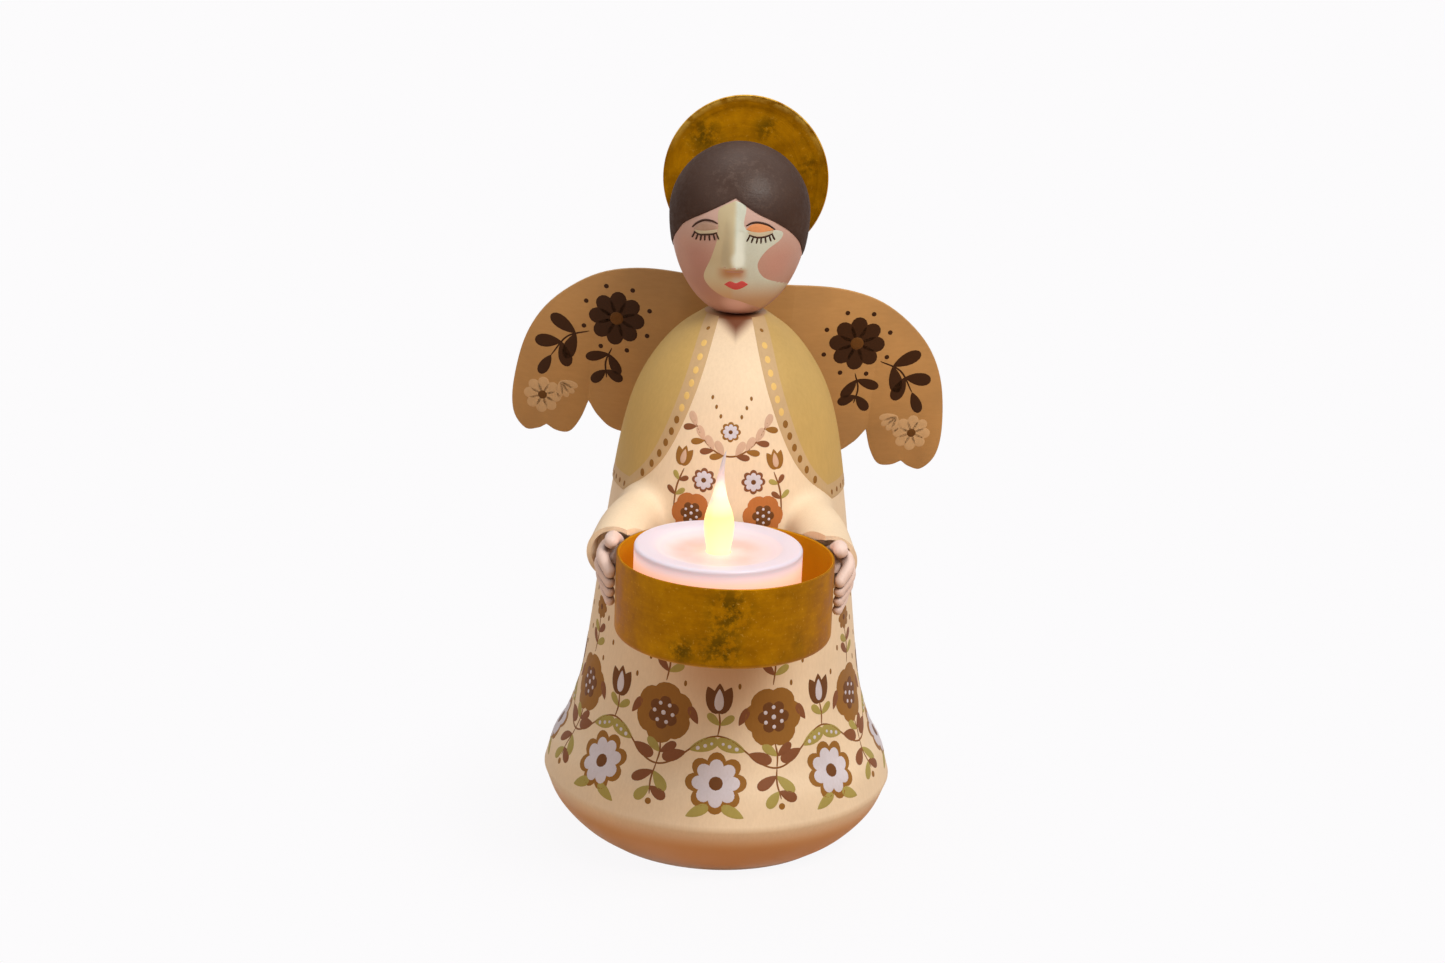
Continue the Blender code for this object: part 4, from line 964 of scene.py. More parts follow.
def make_hair():
    """The cap of hair: a skin from the crown down to the hairline, turned in below it."""
    rows = 48
    bm = bmesh.new()
    rings = []
    for row in range(1, rows + 2):
        ring = []
        for turn in turns(288):
            low = hair_height(math.degrees(turn))
            height, grow = low - 0.1 * MM, -0.25 * MM
            if row <= rows:
                full = math.acos(low / CROWN_HEIGHT) if low > 0 else math.acos(low / CHIN_DEPTH)
                height = egg_height(full * row / rows)
                grow = HAIR_PROUD if row < rows else 0.6 * HAIR_PROUD
            reach = egg_radius(height) + grow
            lift = grow * max(0.0, height / CROWN_HEIGHT)
            ring.append(bm.verts.new((reach * math.sin(turn), -reach * math.cos(turn), height + lift)))
        rings.append(ring)
    close_rings(bm, rings, (0.0, 0.0, CROWN_HEIGHT + HAIR_PROUD))
    bm.faces.new(rings[-1])
    hair = new_object("hair", bm, hair_brown())
    boolean(hair, "DIFFERENCE", halo_recess())
    finish_piece(hair, "head_paint", None, 50.0, head_place())


def hair_brown():
    """Dark brown with fine brush marks, dull at the sides, with a satin sheen over the forehead that is
    partly real, from a lower roughness, and partly painted, as a lighter colour.
    """
    paint = Paint("hair_brown", 0.5)
    crown = head_place() @ (Vector((0.12, -0.75, 0.66)) * HEAD_RADIUS)
    sheen = paint.near(crown, 0.1 * HEAD_RADIUS, 1.05 * HEAD_RADIUS)
    paint.set("Specular IOR Level", 0.25)
    strokes = paint.noise(5.0, 5.0, paint.stretched((120.0, 120.0, 420.0)), 0.65)
    paint.colour(paint.ramp(paint.noise(70.0, 4.0), (0.3, rgb(56, 37, 29)), (0.7, rgb(70, 50, 40))))
    grain = paint.noise(700.0, 6.0, None, 0.7)
    # Painted sheen: the colour is lightened over the forehead, where the roughness is also lower.
    paint.tint([paint.span(grain, 0.45, 0.75), sheen], rgb(116, 98, 90), 0.4)
    dull = paint.span(grain, 0.3, 0.7, 0.74, 0.96)
    paint.feed("Roughness", paint.math("MULTIPLY", paint.span(sheen, 0.0, 0.9, 1.0, 0.5), dull))
    paint.bump(paint.mix(0.6, strokes, grain), 0.14 * MM)
    return paint.made


def skin_rose():
    """Rose skin with soft rose cheeks, darker at the left, a darker chin partly from painted shade, a
    painted highlight on the chin, and lighter in its upper part.
    """
    paint = hand_paint("skin_rose", rgb(195, 154, 141), 0.5, 0.07, EVEN_STROKES)
    # Spots: darker rose on the left cheek and lower left, a rose right cheek, a darker chin partly in
    # painted shade, and last a painted highlight on the chin.
    for x, height, reach, colour, share in (
        (-8.5, -9.5, 6.0, rgb(164, 104, 98), 0.3), (-7.0, -16.0, 8.0, rgb(162, 112, 94), 0.6),
        (10.5, -9.5, 6.0, rgb(200, 132, 120), 0.2), (-1.0, -23.0, 7.0, rgb(176, 116, 94), 0.3),
        (1.0, -20.6, 5.0, rgb(234, 196, 188), 0.8),
    ):
        spot = head_place() @ on_face(x * MM, height * MM)
        paint.tint([paint.near(spot, 0.15 * reach * MM, reach * MM)], colour, share)
    brow = paint.span(paint.axis("Z"), head_height - 8.0 * MM, head_height + 2.0 * MM)
    paint.tint([brow], rgb(212, 186, 178), 0.7)
    return paint.made


def pale_skin():
    """The pale plane of the face: a painted highlight along the nose and at its tip, olive and darker at its
    left in painted shade, a painted shadow below the nose, and darker and warmer towards the chin.
    """
    paint = hand_paint("pale_skin", rgb(209, 219, 208), 0.5, 0.07, EVEN_STROKES)
    ridge = HEAD_RADIUS * math.sin(math.radians(HEAD_TURN))
    tip = head_height + NOSE_TIP
    light = rgb(230, 240, 232)

    def band(axis, middle, low, high, falling=False):
        """A soft edge at a place on one axis, between two distances from a middle in millimetres."""
        edge = paint.fall if falling else paint.span
        return edge(axis, middle + low * MM, middle + high * MM)

    across, height = paint.axis("X"), paint.axis("Z")
    # Painted shade at the left of the nose ridge, the side turned from the key lamp: olive there, and darker
    # still from just above the nose's tip upward.
    left = band(across, ridge, -0.6, 0.8, True)
    paint.tint([left], rgb(206, 199, 166), 0.9)
    paint.tint([left, band(height, head_height, -12.0, -8.0)], rgb(192, 176, 138), 0.5)
    paint.tint([band(height, head_height, -20.0, -12.5, True)], rgb(196, 152, 112), 0.85)
    # Painted highlight on the right side of the nose ridge, the side that faces the key lamp, fading towards
    # the brows.
    nose_highlight = [
        band(across, ridge, 0.2, 1.0), band(across, ridge, 1.8, 3.2, True),
        band(height, tip, 0.0, 1.0), paint.fall(height, tip + 4.0 * MM, head_height + 4.0 * MM),
    ]
    paint.tint(nose_highlight, light, 0.8)
    # Painted highlight near the nose's tip.
    end = head_place() @ on_face(1.3 * MM, NOSE_TIP + 2.2 * MM)
    paint.tint([paint.near(end, 1.0 * MM, 2.6 * MM)], light, 0.7)
    # Painted shadow below the nose, down towards the lips.
    under = [
        band(across, ridge, -4.6, -1.0), band(across, ridge, 1.4, 4.2, True),
        band(height, tip, -4.2, -1.6), band(height, tip, -0.9, 0.2, True),
    ]
    paint.tint(under, rgb(188, 134, 90), 0.9)
    return paint.made


def seat_place():
    return Matrix.Translation((0.0, halo_seat, 0.0)) @ tilted(-HALO_LEAN, "X")


def halo_front():
    """The disc's front as (radius, height): a flat middle and a rim that stands forward."""
    flat = 0.72 * HALO_RADIUS
    bend = between(flat, HALO_RADIUS, 0.6)
    return [(0.0, 0.0), (flat, 0.0), (bend, -0.35 * HALO_DISHING), (HALO_RADIUS, -HALO_DISHING)]


def halo_recess():
    """A cutter for the place of the halo at the back of the head."""
    reach = HALO_RADIUS + FIT
    profile = [*halo_front()[:-1], (reach, -HALO_DISHING), (reach, HEAD_RADIUS), (0.0, HEAD_RADIUS)]
    return move(along_y(revolve(profile), (0.0, 0.0, HALO_RISE)), seat_place())


def make_halo():
    """The disc: its bend is rounded, and its rim is a little thinner than the sheet."""
    front = [tuple(point) for point in smooth(halo_front())]
    back = [(radius, level + HALO_SHEET) for radius, level in reversed(front)]
    edge = 0.2 * MM
    front[-1] = (HALO_RADIUS - edge, front[-1][1])
    back[0] = (HALO_RADIUS - edge, back[0][1])
    rim = [(HALO_RADIUS, -HALO_DISHING + edge), (HALO_RADIUS, -HALO_DISHING + HALO_SHEET - edge)]
    bm = along_y(revolve([*front, *rim, *back]), (0.0, 0.0, HALO_RISE))
    halo = new_object("halo_disc", bm, halo_gold())
    hole = cylinder(NAIL_RADIUS + FIT, -2 * HALO_SHEET, 3 * HALO_SHEET)
    boolean(halo, "DIFFERENCE", along_y(hole, NAIL_SPOT))
    place = head_place() @ seat_place() @ Matrix.Translation((0.0, FIT, 0.0))
    finish_piece(halo, "gold_leaf", "halo", 50.0, place)


# Wings

def wing_outline():
    """One wing seen from the front as (x, z), from the middle of the top edge round to the lower edge."""
    def at(*shares):
        """A point at shares of the span and of the height from the lobe's lower edge to the top."""
        return part_way((0.0, WING_LOBE), (WING_SPAN, WING_TOP), *shares)

    deep = at(0.645, 0.212)
    shallow = at(0.83, 0.040)
    upper = smooth([
        at(0.0, 0.963), at(0.24, 0.992), at(0.48, 0.979), at(0.68, 0.900), at(0.86, 0.726), at(0.96, 0.518),
        at(1.0, 0.260), at(0.99, 0.087), at(0.93, 0.0), at(0.87, 0.010), shallow,
    ])
    middle = smooth([shallow, at(0.78, 0.015), at(0.72, 0.023), at(0.675, 0.104), deep], 5)
    rise = (1.2 * WING_WEB, between(WING_LOW, WING_TOP, 0.018))
    inner = smooth([deep, at(0.59, 0.133), at(0.50, 0.075), rise, (0.8 * WING_WEB, WING_LOW)])
    return [*upper, *middle[1:], *inner[1:]]


def wing_bend(x):
    """How far a point of the wings lies behind the flat middle."""
    past = max(0.0, abs(x) - WING_WEB)
    return past * math.tan(math.radians(WING_SWEEP))


def make_wings():
    """The pair of wings: one sheet, extruded flat with soft rims, then bent back on both sides."""
    right = wing_outline()
    left = [(-p.x, p.y) for p in reversed(right[1:])]
    bm = bmesh.new()
    face = bm.faces.new([bm.verts.new((x, 0.0, z - WING_PIVOT)) for x, z in [*right, *left]])
    grown = bmesh.ops.extrude_face_region(bm, geom=[face])["geom"]
    grown = [g for g in grown if isinstance(g, bmesh.types.BMVert)]
    bmesh.ops.translate(bm, verts=grown, vec=(0.0, WING_SHEET, 0.0))
    bmesh.ops.recalc_face_normals(bm, faces=bm.faces)
    rims = [edge for edge in bm.edges if abs(edge.verts[0].co.y - edge.verts[1].co.y) < 0.1 * WING_SHEET]
    bmesh.ops.bevel(bm, geom=rims, offset=0.25 * WING_SHEET, segments=2, affect="EDGES", profile=0.5)
    for side in (-1, 1):
        for k in range(10):
            x = side * (WING_WEB + k * (WING_SPAN - WING_WEB) / 9.2)
            parts = [*bm.verts, *bm.edges, *bm.faces]
            bmesh.ops.bisect_plane(bm, geom=parts, plane_co=(x, 0, 0), plane_no=(1, 0, 0))
    for vert in bm.verts:
        vert.co.y += wing_bend(vert.co.x)
    bmesh.ops.triangulate(bm, faces=[f for f in bm.faces if len(f.verts) > 4])
    tan = hand_paint("wing_tan", rgb(188, 143, 88), 0.55, 0.10, (40.0, 200.0, 200.0)).made
    wings = new_object("wing_sheet", bm, tan)
    boolean(wings, "DIFFERENCE", *wing_holes(-2 * WING_SHEET, 3 * WING_SHEET))
    finish_piece(wings, "wing_paint", "wings", 30.0, wing_sheet_place())


# Hands

def beside_dish(side, angle, drop, out):
    """A point beside the dish, below its rim. The angle goes from its side to its front, in degrees."""
    reach = dish_radius + FIT + out
    turn = math.radians(angle)
    return Vector((side * reach * math.cos(turn), dish_axis.y - reach * math.sin(turn), dish_rim - drop))


def finger(points, radius):
    """A tapered bar with a rounded tip along a smooth path."""
    path = smooth(points)
    last = (path[-1] - path[-2]).normalized()
    radii = [between(radius, 0.85 * radius, i / (len(path) - 1)) for i in range(len(path))]
    for wide, far in arc((0.0, 0.0), 0.85 * radius, 20, 80, 3):
        path.append(points[-1] + last * far)
        radii.append(wide)
    return tube(path, radii, 20)


def make_hand(name, side, node):
    """Palm, thumb along the rim, and four fingers one below the other, carved from one block."""
    mouth, inward = inside_cuff(side)
    wrist = [mouth + inward * WRIST_LENGTH, mouth - inward * FINGER_RADIUS]
    hand = new_object(name, tube(wrist, [WRIST_RADIUS] * 2, 20), hand_skin())
    palm = smooth([
        mouth + inward * 0.7 * CUFF_DEPTH,
        beside_dish(side, -20.0, 1.05 * PALM_RADIUS, 1.2 * PALM_OUT),
        beside_dish(side, -13.0, 1.8 * PALM_RADIUS, PALM_OUT),
    ], 5)
    swell = [0.8 + 0.2 * math.sin(math.pi * i / (len(palm) - 1)) for i in range(len(palm))]
    shapes = [tube(palm, [PALM_RADIUS * share for share in swell], 24)]
    for k, (knuckle, bend, tip, out) in enumerate(FINGERS):
        points = [
            beside_dish(side, -17.0, knuckle, out),
            beside_dish(side, -10.0 - k, bend, out + 1.2 * MM),
            beside_dish(side, -3.0 - k, tip, 0.7 * FINGER_RADIUS),
        ]
        shapes.append(finger(points, FINGER_RADIUS * (1.0 - 0.05 * k)))
    thumb = [
        beside_dish(side, -22.0, 3 * THUMB_RISE, 1.4 * THUMB_OUT),
        beside_dish(side, -16.0, -THUMB_RISE, 1.2 * THUMB_OUT),
        beside_dish(side, -10.5, -THUMB_RISE, THUMB_OUT),
    ]
    shapes.append(finger(thumb, 1.2 * FINGER_RADIUS))
    boolean(hand, "UNION", *shapes)
    boolean(hand, "DIFFERENCE", dish_space(dish_rim + 4 * FINGER_RADIUS))
    finish_piece(hand, "hand_paint", node, 60.0)


def hand_skin():
    """Pale rose, with painted shade in the creases between the fingers."""
    paint = hand_paint("hand_rose", rgb(236, 212, 204), 0.5, 0.08, EVEN_STROKES)
    # Painted shade: ambient occlusion darkens the creases.
    paint.tint([paint.fall(paint.creases(2.0 * MM), 0.50, 0.88)], rgb(96, 60, 46), 0.9)
    return paint.made


# Dish

def make_dish():
    """The cup, with a round edge below, a softened lip and a screw hole in its back."""
    inner = dish_radius - DISH_WALL
    height = dish_rim - dish_low.z
    lip = 0.25 * DISH_WALL
    corner = dish_radius - DISH_EDGE
    profile = [
        (0.0, 0.0), *arc((corner, DISH_EDGE), DISH_EDGE, -90, 0),
        (dish_radius, height - lip), (dish_radius - lip, height),
        (inner + lip, height), (inner, height - lip),
        *arc((corner, DISH_EDGE + DISH_FLOOR - DISH_WALL), DISH_EDGE - DISH_WALL, 0, -90), (0.0, DISH_FLOOR),
    ]
    bm = move(revolve(profile, 256), (0.0, dish_axis.y, dish_low.z))
    dish = new_object("dish", bm, dish_gold())
    hole = cylinder(SCREW_RADIUS + FIT, -3 * DISH_WALL, 4 * DISH_WALL)
    boolean(dish, "DIFFERENCE", along_y(hole, dish_screw_place()))
    finish_piece(dish, "gold_leaf", "candle_dish", 40.0)


# Tea light

def make_shell():
    """The tea light's body, open below, with a shallow pool round the flame."""
    inner = candle_radius - CANDLE_WALL
    height = shell_high.z - shell_low.z
    level = height - POOL_DEPTH
    hole = FLAME_FOOT_RADIUS + FIT
    edge = arc((candle_radius - CANDLE_EDGE, height - CANDLE_EDGE), CANDLE_EDGE, 0, 90)
    pool = smooth([
        edge[-1], (between(POOL_RADIUS, candle_radius, 0.35), height - 0.1 * POOL_DEPTH),
        (POOL_RADIUS, height - 0.55 * POOL_DEPTH), (0.8 * POOL_RADIUS, level), (0.5 * POOL_RADIUS, level),
        (hole, level),
    ], 5)
    under = [(hole, level - CANDLE_WALL), (inner, level - CANDLE_WALL), (inner, 0.0)]
    bm = revolve([(candle_radius, 0.0), *edge, *pool[1:], *under])
    move(bm, (candle_axis.x, candle_axis.y, shell_low.z))
    shell = new_object("tea_light", bm, wax_white())
    finish_piece(shell, "candle_white", "candle_shell", 40.0)


def make_flame():
    """A hollow flame on a flange, curled a little at its tip."""
    above = smooth([
        (0.76, 0.0), (0.84, 0.07), (0.93, 0.14), (1.0, 0.25), (0.96, 0.33), (0.85, 0.40), (0.68, 0.47),
        (0.52, 0.54), (0.33, 0.66), (0.19, 0.79), (0.10, 0.92), (0.0, 1.0)], 5)
    outside = [(FLAME_RADIUS * wide, pool_top + FLAME_HEIGHT * up) for wide, up in above]
    bore_top = pool_top + 0.2 * FLAME_HEIGHT
    flange_top = pool_top - CANDLE_WALL - FIT
    flange_low = flange_top - FLAME_FLANGE_HEIGHT
    bore = [
        (0.0, bore_top + FLAME_BORE), (0.7 * FLAME_BORE, bore_top + 0.7 * FLAME_BORE),
        (FLAME_BORE, bore_top), (FLAME_BORE, flange_low),
    ]
    flange = [(FLAME_FLANGE, flange_low), (FLAME_FLANGE, flange_top), (FLAME_FOOT_RADIUS, flange_top)]
    bm = revolve([*bore, *flange, *outside], 48)
    for vert in bm.verts:
        share = max(0.0, (vert.co.z - pool_top) / FLAME_HEIGHT)
        vert.co.x += FLAME_CURL * (2.6 * share**4 - 1.6 * share**2)
    move(bm, (candle_axis.x, candle_axis.y, 0.0))
    flame = new_object("flame_form", bm, flame_material())
    finish_piece(flame, "flame_cream", "flame", 60.0)
    flame.visible_shadow = False


# Painted ornaments

PAINT_LIFT = 0.06 * MM    # the lowest layer of paint above its surface
LAYER_LIFT = 0.04 * MM    # from one layer of paint to the next
PAINT_ROOT = -0.15 * MM   # where the bodies of paint end, below the surface
OCHRE = rgb(152, 106, 48)
BROWN = rgb(112, 70, 36)
RUSSET = rgb(134, 84, 54)
OLIVE = rgb(172, 158, 88)
CHALK = rgb(216, 212, 224)
BUD = rgb(214, 180, 156)
AMBER = rgb(188, 116, 62)
STEM = rgb(136, 88, 46)
DARK_LEAF = rgb(60, 32, 8)
DARK_CORE = rgb(104, 66, 26)
PALE_LEAF = rgb(212, 176, 132)
GOLD_DOT = rgb(232, 196, 120)
BROWN_DOT = rgb(142, 98, 44)


class Painting:
    """Closed thin bodies of paint on one surface, gathered into one object for each colour."""

    def __init__(self, name, slot):
        self.name = name
        self.slot = slot
        self.shapes = {}

    def shape(self, colour):
        if colour not in self.shapes:
            self.shapes[colour] = bmesh.new()
        return self.shapes[colour]

    def patch(self, colour, outline, place, layer=0):
        """Paints the inside of an outline that can be seen whole from its middle."""
        bm = self.shape(colour)
        lift = PAINT_LIFT + layer * LAYER_LIFT
        middle = sum(outline, Vector((0.0, 0.0))) / len(outline)
        wide = max((point - middle).length for point in outline)
        steps = ((1.0, 0.4), (0.9, 1.0), (0.5, 1.0)) if wide > 1.2 * MM else ((1.0, 0.4), (0.75, 1.0))
        rings = [[bm.verts.new(place(point, PAINT_ROOT)) for point in outline]]
        for share, rise in steps:
            rings.append([bm.verts.new(place(middle.lerp(point, share), rise * lift)) for point in outline])
        close_rings(bm, rings, place(middle, PAINT_ROOT), place(middle, lift))

    def panel(self, colour, left, right, place, layer=0, across=8):
        """Paints between two lines with as many points each."""
        lift = PAINT_LIFT + layer * LAYER_LIFT
        rows = []
        for i, (start, stop) in enumerate(zip(left, right)):
            row = []
            for k in range(across + 1):
                point = start.lerp(stop, k / across)
                level = 0.4 * lift if k in (0, across) or i in (0, len(left) - 1) else lift
                row.append((place(point, level), place(point, PAINT_ROOT)))
            rows.append(row)
        add_sheet(self.shape(colour), rows)

    def stroke(self, colour, points, width, place, layer=0, ends=0.4, per_span=6):
        """Paints a brush line through points, narrower at its ends."""
        path = smooth(points, per_span)
        left, right = [], []
        for i, point in enumerate(path):
            along = heading(path, i).normalized()
            side = Vector((-along.y, along.x)) * width / 2
            side *= between(ends, 1.0, math.sin(math.pi * i / (len(path) - 1)) ** 0.5)
            left.append(point - side)
            right.append(point + side)
        self.panel(colour, left, right, place, layer, 3)

    def dot(self, colour, centre, radius, place, layer=0, tall=1.0):
        outline = [Vector(centre) + radius * Vector((math.cos(a), tall * math.sin(a))) for a in turns(12)]
        self.patch(colour, outline, place, layer)

    def finish(self, roughness=0.55, finish=None):
        """Makes a piece of each colour, painted in that colour or in one finish for all."""
        for k, (colour, bm) in enumerate(self.shapes.items()):
            made = finish
            if not made:
                paint = hand_paint(f"{self.name}_paint_{k}", colour, roughness, 0.09)
                paint.set("Specular IOR Level", 0.15)
                made = paint.made
            finish_piece(new_object(f"{self.name}_{k}", bm, made), self.slot, None, 60.0)


def turned(point, turn):
    """A flat point turned to the left by an angle in degrees."""
    return Matrix.Rotation(math.radians(turn), 2) @ Vector(point)


def leaf(length, width, turn=0.0, start=(0.0, 0.0)):
    """A drop-shaped outline with its point at the start and its round end a length further on."""
    outline = []
    for a in turns(18):
        out = 0.6 * width * math.sin(a) * abs(math.sin(a / 2)) ** 0.7
        outline.append(Vector(start) + turned((out, length * (1.0 - math.cos(a)) / 2), turn))
    return outline


def petals(art, place, colour, count, length, width, layer=0, first=0.0):
    """A ring of leaves round a middle."""
    for k in range(count):
        art.patch(colour, leaf(length, width, first + 360 * k / count), place, layer)


def daisy(art, place, radius, outer, inner, core):
    """A round flower of eight petals, with a second colour on them where one is given, and a core."""
    petals(art, place, outer, 8, radius, 0.62 * radius)
    if inner:
        petals(art, place, inner, 8, 0.79 * radius, 0.49 * radius, 1)
    art.dot(core, (0, 0), 0.24 * radius, place, 2)


def poppy(art, place, radius, outer=OCHRE):
    """A round flower of six wide petals, with chalk dots on its dark core."""
    petals(art, place, outer, 6, radius, 0.95 * radius, 0, 30)
    petals(art, place, BROWN, 6, 0.55 * radius, 0.42 * radius, 1, 30)
    for k in range(6):
        art.dot(CHALK, turned((0.0, 0.32 * radius), 60 * k), 0.075 * radius, place, 2)
    art.dot(CHALK, (0, 0), 0.09 * radius, place, 2)


def tulip(art, place, size, outer, inner):
    """A cup of three pointed petals."""
    for turn in (-24, 24):
        art.patch(outer, leaf(size, 0.55 * size, turn + 180, turned((0.0, size), turn)), place)
    art.patch(outer, leaf(1.04 * size, 0.52 * size, 180, (0.0, 1.04 * size)), place)
    art.patch(inner, leaf(0.78 * size, 0.34 * size, 180, (0.0, 0.86 * size)), place, 1)


def sprig(art, place, points, stem, leaves, colours, size):
    """A stem with pairs of leaves at shares of its length."""
    art.stroke(stem, points, 0.45 * MM, place)
    path = smooth(points, 12)
    for k, share in enumerate(leaves):
        i = round(share * (len(path) - 1))
        along = heading(path, i)
        lean = math.degrees(math.atan2(-along.x, along.y))
        for side in (-1, 1):
            outline = leaf(size * (1.0 - 0.3 * share), 0.42 * size, lean + side * 52, path[i])
            art.patch(colours[(k + (side > 0)) % len(colours)], outline, place)


def stalk(length):
    return [(0.0, 0.0), (length / 15, length / 2), (0.0, length)]


def gown_spot(angle, height, turn=0.0, proud=0.0):
    """A flat drawing frame on the gown, at an angle in degrees from the front: it lays a point at a lift."""
    def place(point, lift):
        flat = turned(point, turn)
        level = climb(height, flat.y)
        return on_gown(math.radians(angle) + flat.x / gown_radius(level), level, lift + proud)
    return place


def round_gown(height):
    """A drawing frame round the whole gown, with lengths across as they are at one height."""
    reach = gown_radius(height)

    def place(point, lift):
        return on_gown(point.x / reach, point.y, lift)
    return place


def paint_skirt():
    """A scroll that runs round the skirt, with daisies in its lower bends and poppies in its upper ones."""
    art = Painting("skirt", "gown")
    waves = 8
    half = 180.0 / waves
    reach = gown_radius(VINE_HEIGHT)
    high = VINE_HEIGHT + VINE_WAVE
    low = VINE_HEIGHT - VINE_WAVE
    circle = [*turns(12 * waves), math.tau]
    vine = [(reach * a, VINE_HEIGHT + VINE_WAVE * math.cos(waves * a)) for a in circle]
    art.stroke(STEM, vine, 0.4 * MM, round_gown(VINE_HEIGHT), 0, 1.0, 3)
    for k in range(waves):
        crest = 2 * half * k
        trough = crest + half
        daisy(art, gown_spot(crest, climb(high, -11.2 * MM), 10 * k), 7.4 * MM, OCHRE, CHALK, BROWN)
        sprig(art, gown_spot(crest, high), stalk(6 * MM), STEM, (0.4,), (OLIVE,), 4.6 * MM)
        tulip(art, gown_spot(crest, climb(high, 5.4 * MM)), 7.0 * MM, BROWN, CHALK)
        sprig(art, gown_spot(trough, low), stalk(6 * MM), STEM, (0.45,), (RUSSET, OLIVE), 5.4 * MM)
        poppy(art, gown_spot(trough, climb(low, 12.2 * MM), 12 * k), 7.4 * MM)
        below = gown_spot(trough, low, 180)
        sprig(art, below, stalk(7.5 * MM), STEM, (0.25, 0.75), (RUSSET, OLIVE), 6.4 * MM)
        art.dot(OCHRE, (0.0, 9.2 * MM), 0.8 * MM, below)
        for side in (-1, 1):
            slope = crest + side * 0.5 * half
            place = gown_spot(slope, VINE_HEIGHT, side * 40)
            art.patch(OLIVE, leaf(7.4 * MM, 3.4 * MM, side * 30, (0, 0.4 * MM)), place)
            for step, radius in ((2.6, 0.52), (4.4, 0.48), (6.0, 0.38)):
                art.dot(CHALK, turned((0, step * MM), side * 30), radius * MM, place, 1)
            art.patch(RUSSET, leaf(6.2 * MM, 3.0 * MM, 180 + side * 30, (0, -0.4 * MM)), place)
            foot = gown_spot(crest + side * 0.42 * half, climb(HEM_HEIGHT, 3.0 * MM), side * 62)
            art.patch(OLIVE, leaf(6.2 * MM, 2.8 * MM), foot)
            flank = gown_spot(crest + side * 0.36 * half, climb(high, 2.5 * MM), -side * 30)
            art.patch(RUSSET, leaf(4.8 * MM, 2.2 * MM), flank)
            for row in range(5):
                spot = gown_spot(slope + (row % 2 - 0.5) * 6.0, climb(high, (12.0 + 5.0 * row) * MM))
                art.dot(BROWN_DOT, (0, 0), 0.38 * MM, spot, 0, 1.9)
        upper = gown_spot(trough, climb(low, 20.0 * MM))
        sprig(art, upper, stalk(9 * MM), STEM, (0.25, 0.6), (OLIVE, RUSSET), 4.6 * MM)
        daisy(art, gown_spot(trough, climb(low, 31.5 * MM)), 3.0 * MM, OCHRE, None, BROWN)
    art.finish()


def paint_chest():
    """A festoon of leaves from one edge of the mantle to the other, over a row of small flowers."""
    art = Painting("chest", "gown")
    reach = gown_radius(FESTOON_HEIGHT)

    def hanging(x):
        """A point on the festoon, from its distance to the middle in millimetres."""
        return x * MM, FESTOON_HEIGHT + 0.085 * x * x * MM

    art.stroke(STEM, [hanging(3.5 * k) for k in range(-3, 4)], 0.4 * MM, round_gown(FESTOON_HEIGHT))
    for k, x in enumerate((-8.6, -6.2, -3.8, -1.4, 1.4, 3.8, 6.2, 8.6)):
        across, height = hanging(x)
        place = gown_spot(math.degrees(across / reach), height)
        side = 1 if x < 0 else -1
        art.patch(BUD, leaf(3.9 * MM, 1.9 * MM, side * 30), place)
        art.patch(OCHRE if k % 2 else RUSSET, leaf(3.4 * MM, 1.6 * MM, side * 100), place)
    for side in (-1, 1):
        daisy(art, gown_spot(side * 12.5, FESTOON_HEIGHT - 5.8 * MM), 2.9 * MM, RUSSET, CHALK, BROWN)
        tulip(art, gown_spot(side * 25.0, FESTOON_HEIGHT - 3.0 * MM, side * 8), 4.6 * MM, OCHRE, BUD)
        place = gown_spot(side * 27.0, FESTOON_HEIGHT - 13.0 * MM, side * 10)
        stem = [(0, 0), (side * 0.6 * MM, 5 * MM), (0, 9.6 * MM)]
        sprig(art, place, stem, STEM, (0.3, 0.65), (OLIVE, RUSSET), 3.2 * MM)
        poppy(art, gown_spot(side * 17.5, FESTOON_HEIGHT - 13.8 * MM), 5.0 * MM, AMBER)
        for step in range(3):
            spot = gown_spot(side * (6.0 + 3.0 * step), FESTOON_HEIGHT + (9.0 + 2.0 * step) * MM)
            art.dot(BROWN_DOT, (0, 0), 0.34 * MM, spot, 0, 1.6)
    daisy(art, gown_spot(0.0, FESTOON_HEIGHT + 5.6 * MM), 2.4 * MM, OCHRE, CHALK, BROWN)
    art.finish()


def paint_mantle_dots():
    """Dots down the middle of the mantle's edging and along its lower edge."""
    art = Painting("edging", "gown")
    level = MANTLE_LOW + 2.2 * MM
    for side in (-1, 1):
        for k in range(13):
            height = between(neck_height - 2.4 * MM, MANTLE_LOW + 6.6 * MM, k / 12)
            angle = side * math.degrees(mantle_angle(height, 0.5 * EDGING_WIDTH))
            place = gown_spot(angle, height, side * -12, MANTLE_PROUD)
            art.dot(GOLD_DOT if 0 < k < 7 else BROWN_DOT, (0, 0), (0.70 if k else 0.45) * MM, place, 0, 1.35)
        first = math.degrees(mantle_angle(level, 0.7 * EDGING_WIDTH))
        for k in range(20):
            place = gown_spot(side * (first + 6.2 * k), level, 0.0, MANTLE_PROUD)
            art.dot(BROWN_DOT, (0, 0), 0.55 * MM, place, 0, 1.2)
    art.finish()


def wing_spot(side, across, height):
    """A flat drawing frame on a wing's front, mirrored on the left one. Its place is in millimetres."""
    matrix = wing_sheet_place()

    def place(point, lift):
        flat = Vector((across * MM, height * MM)) + Vector(point)
        return matrix @ Vector((side * flat.x, wing_bend(flat.x) - lift, flat.y - WING_PIVOT))
    return place


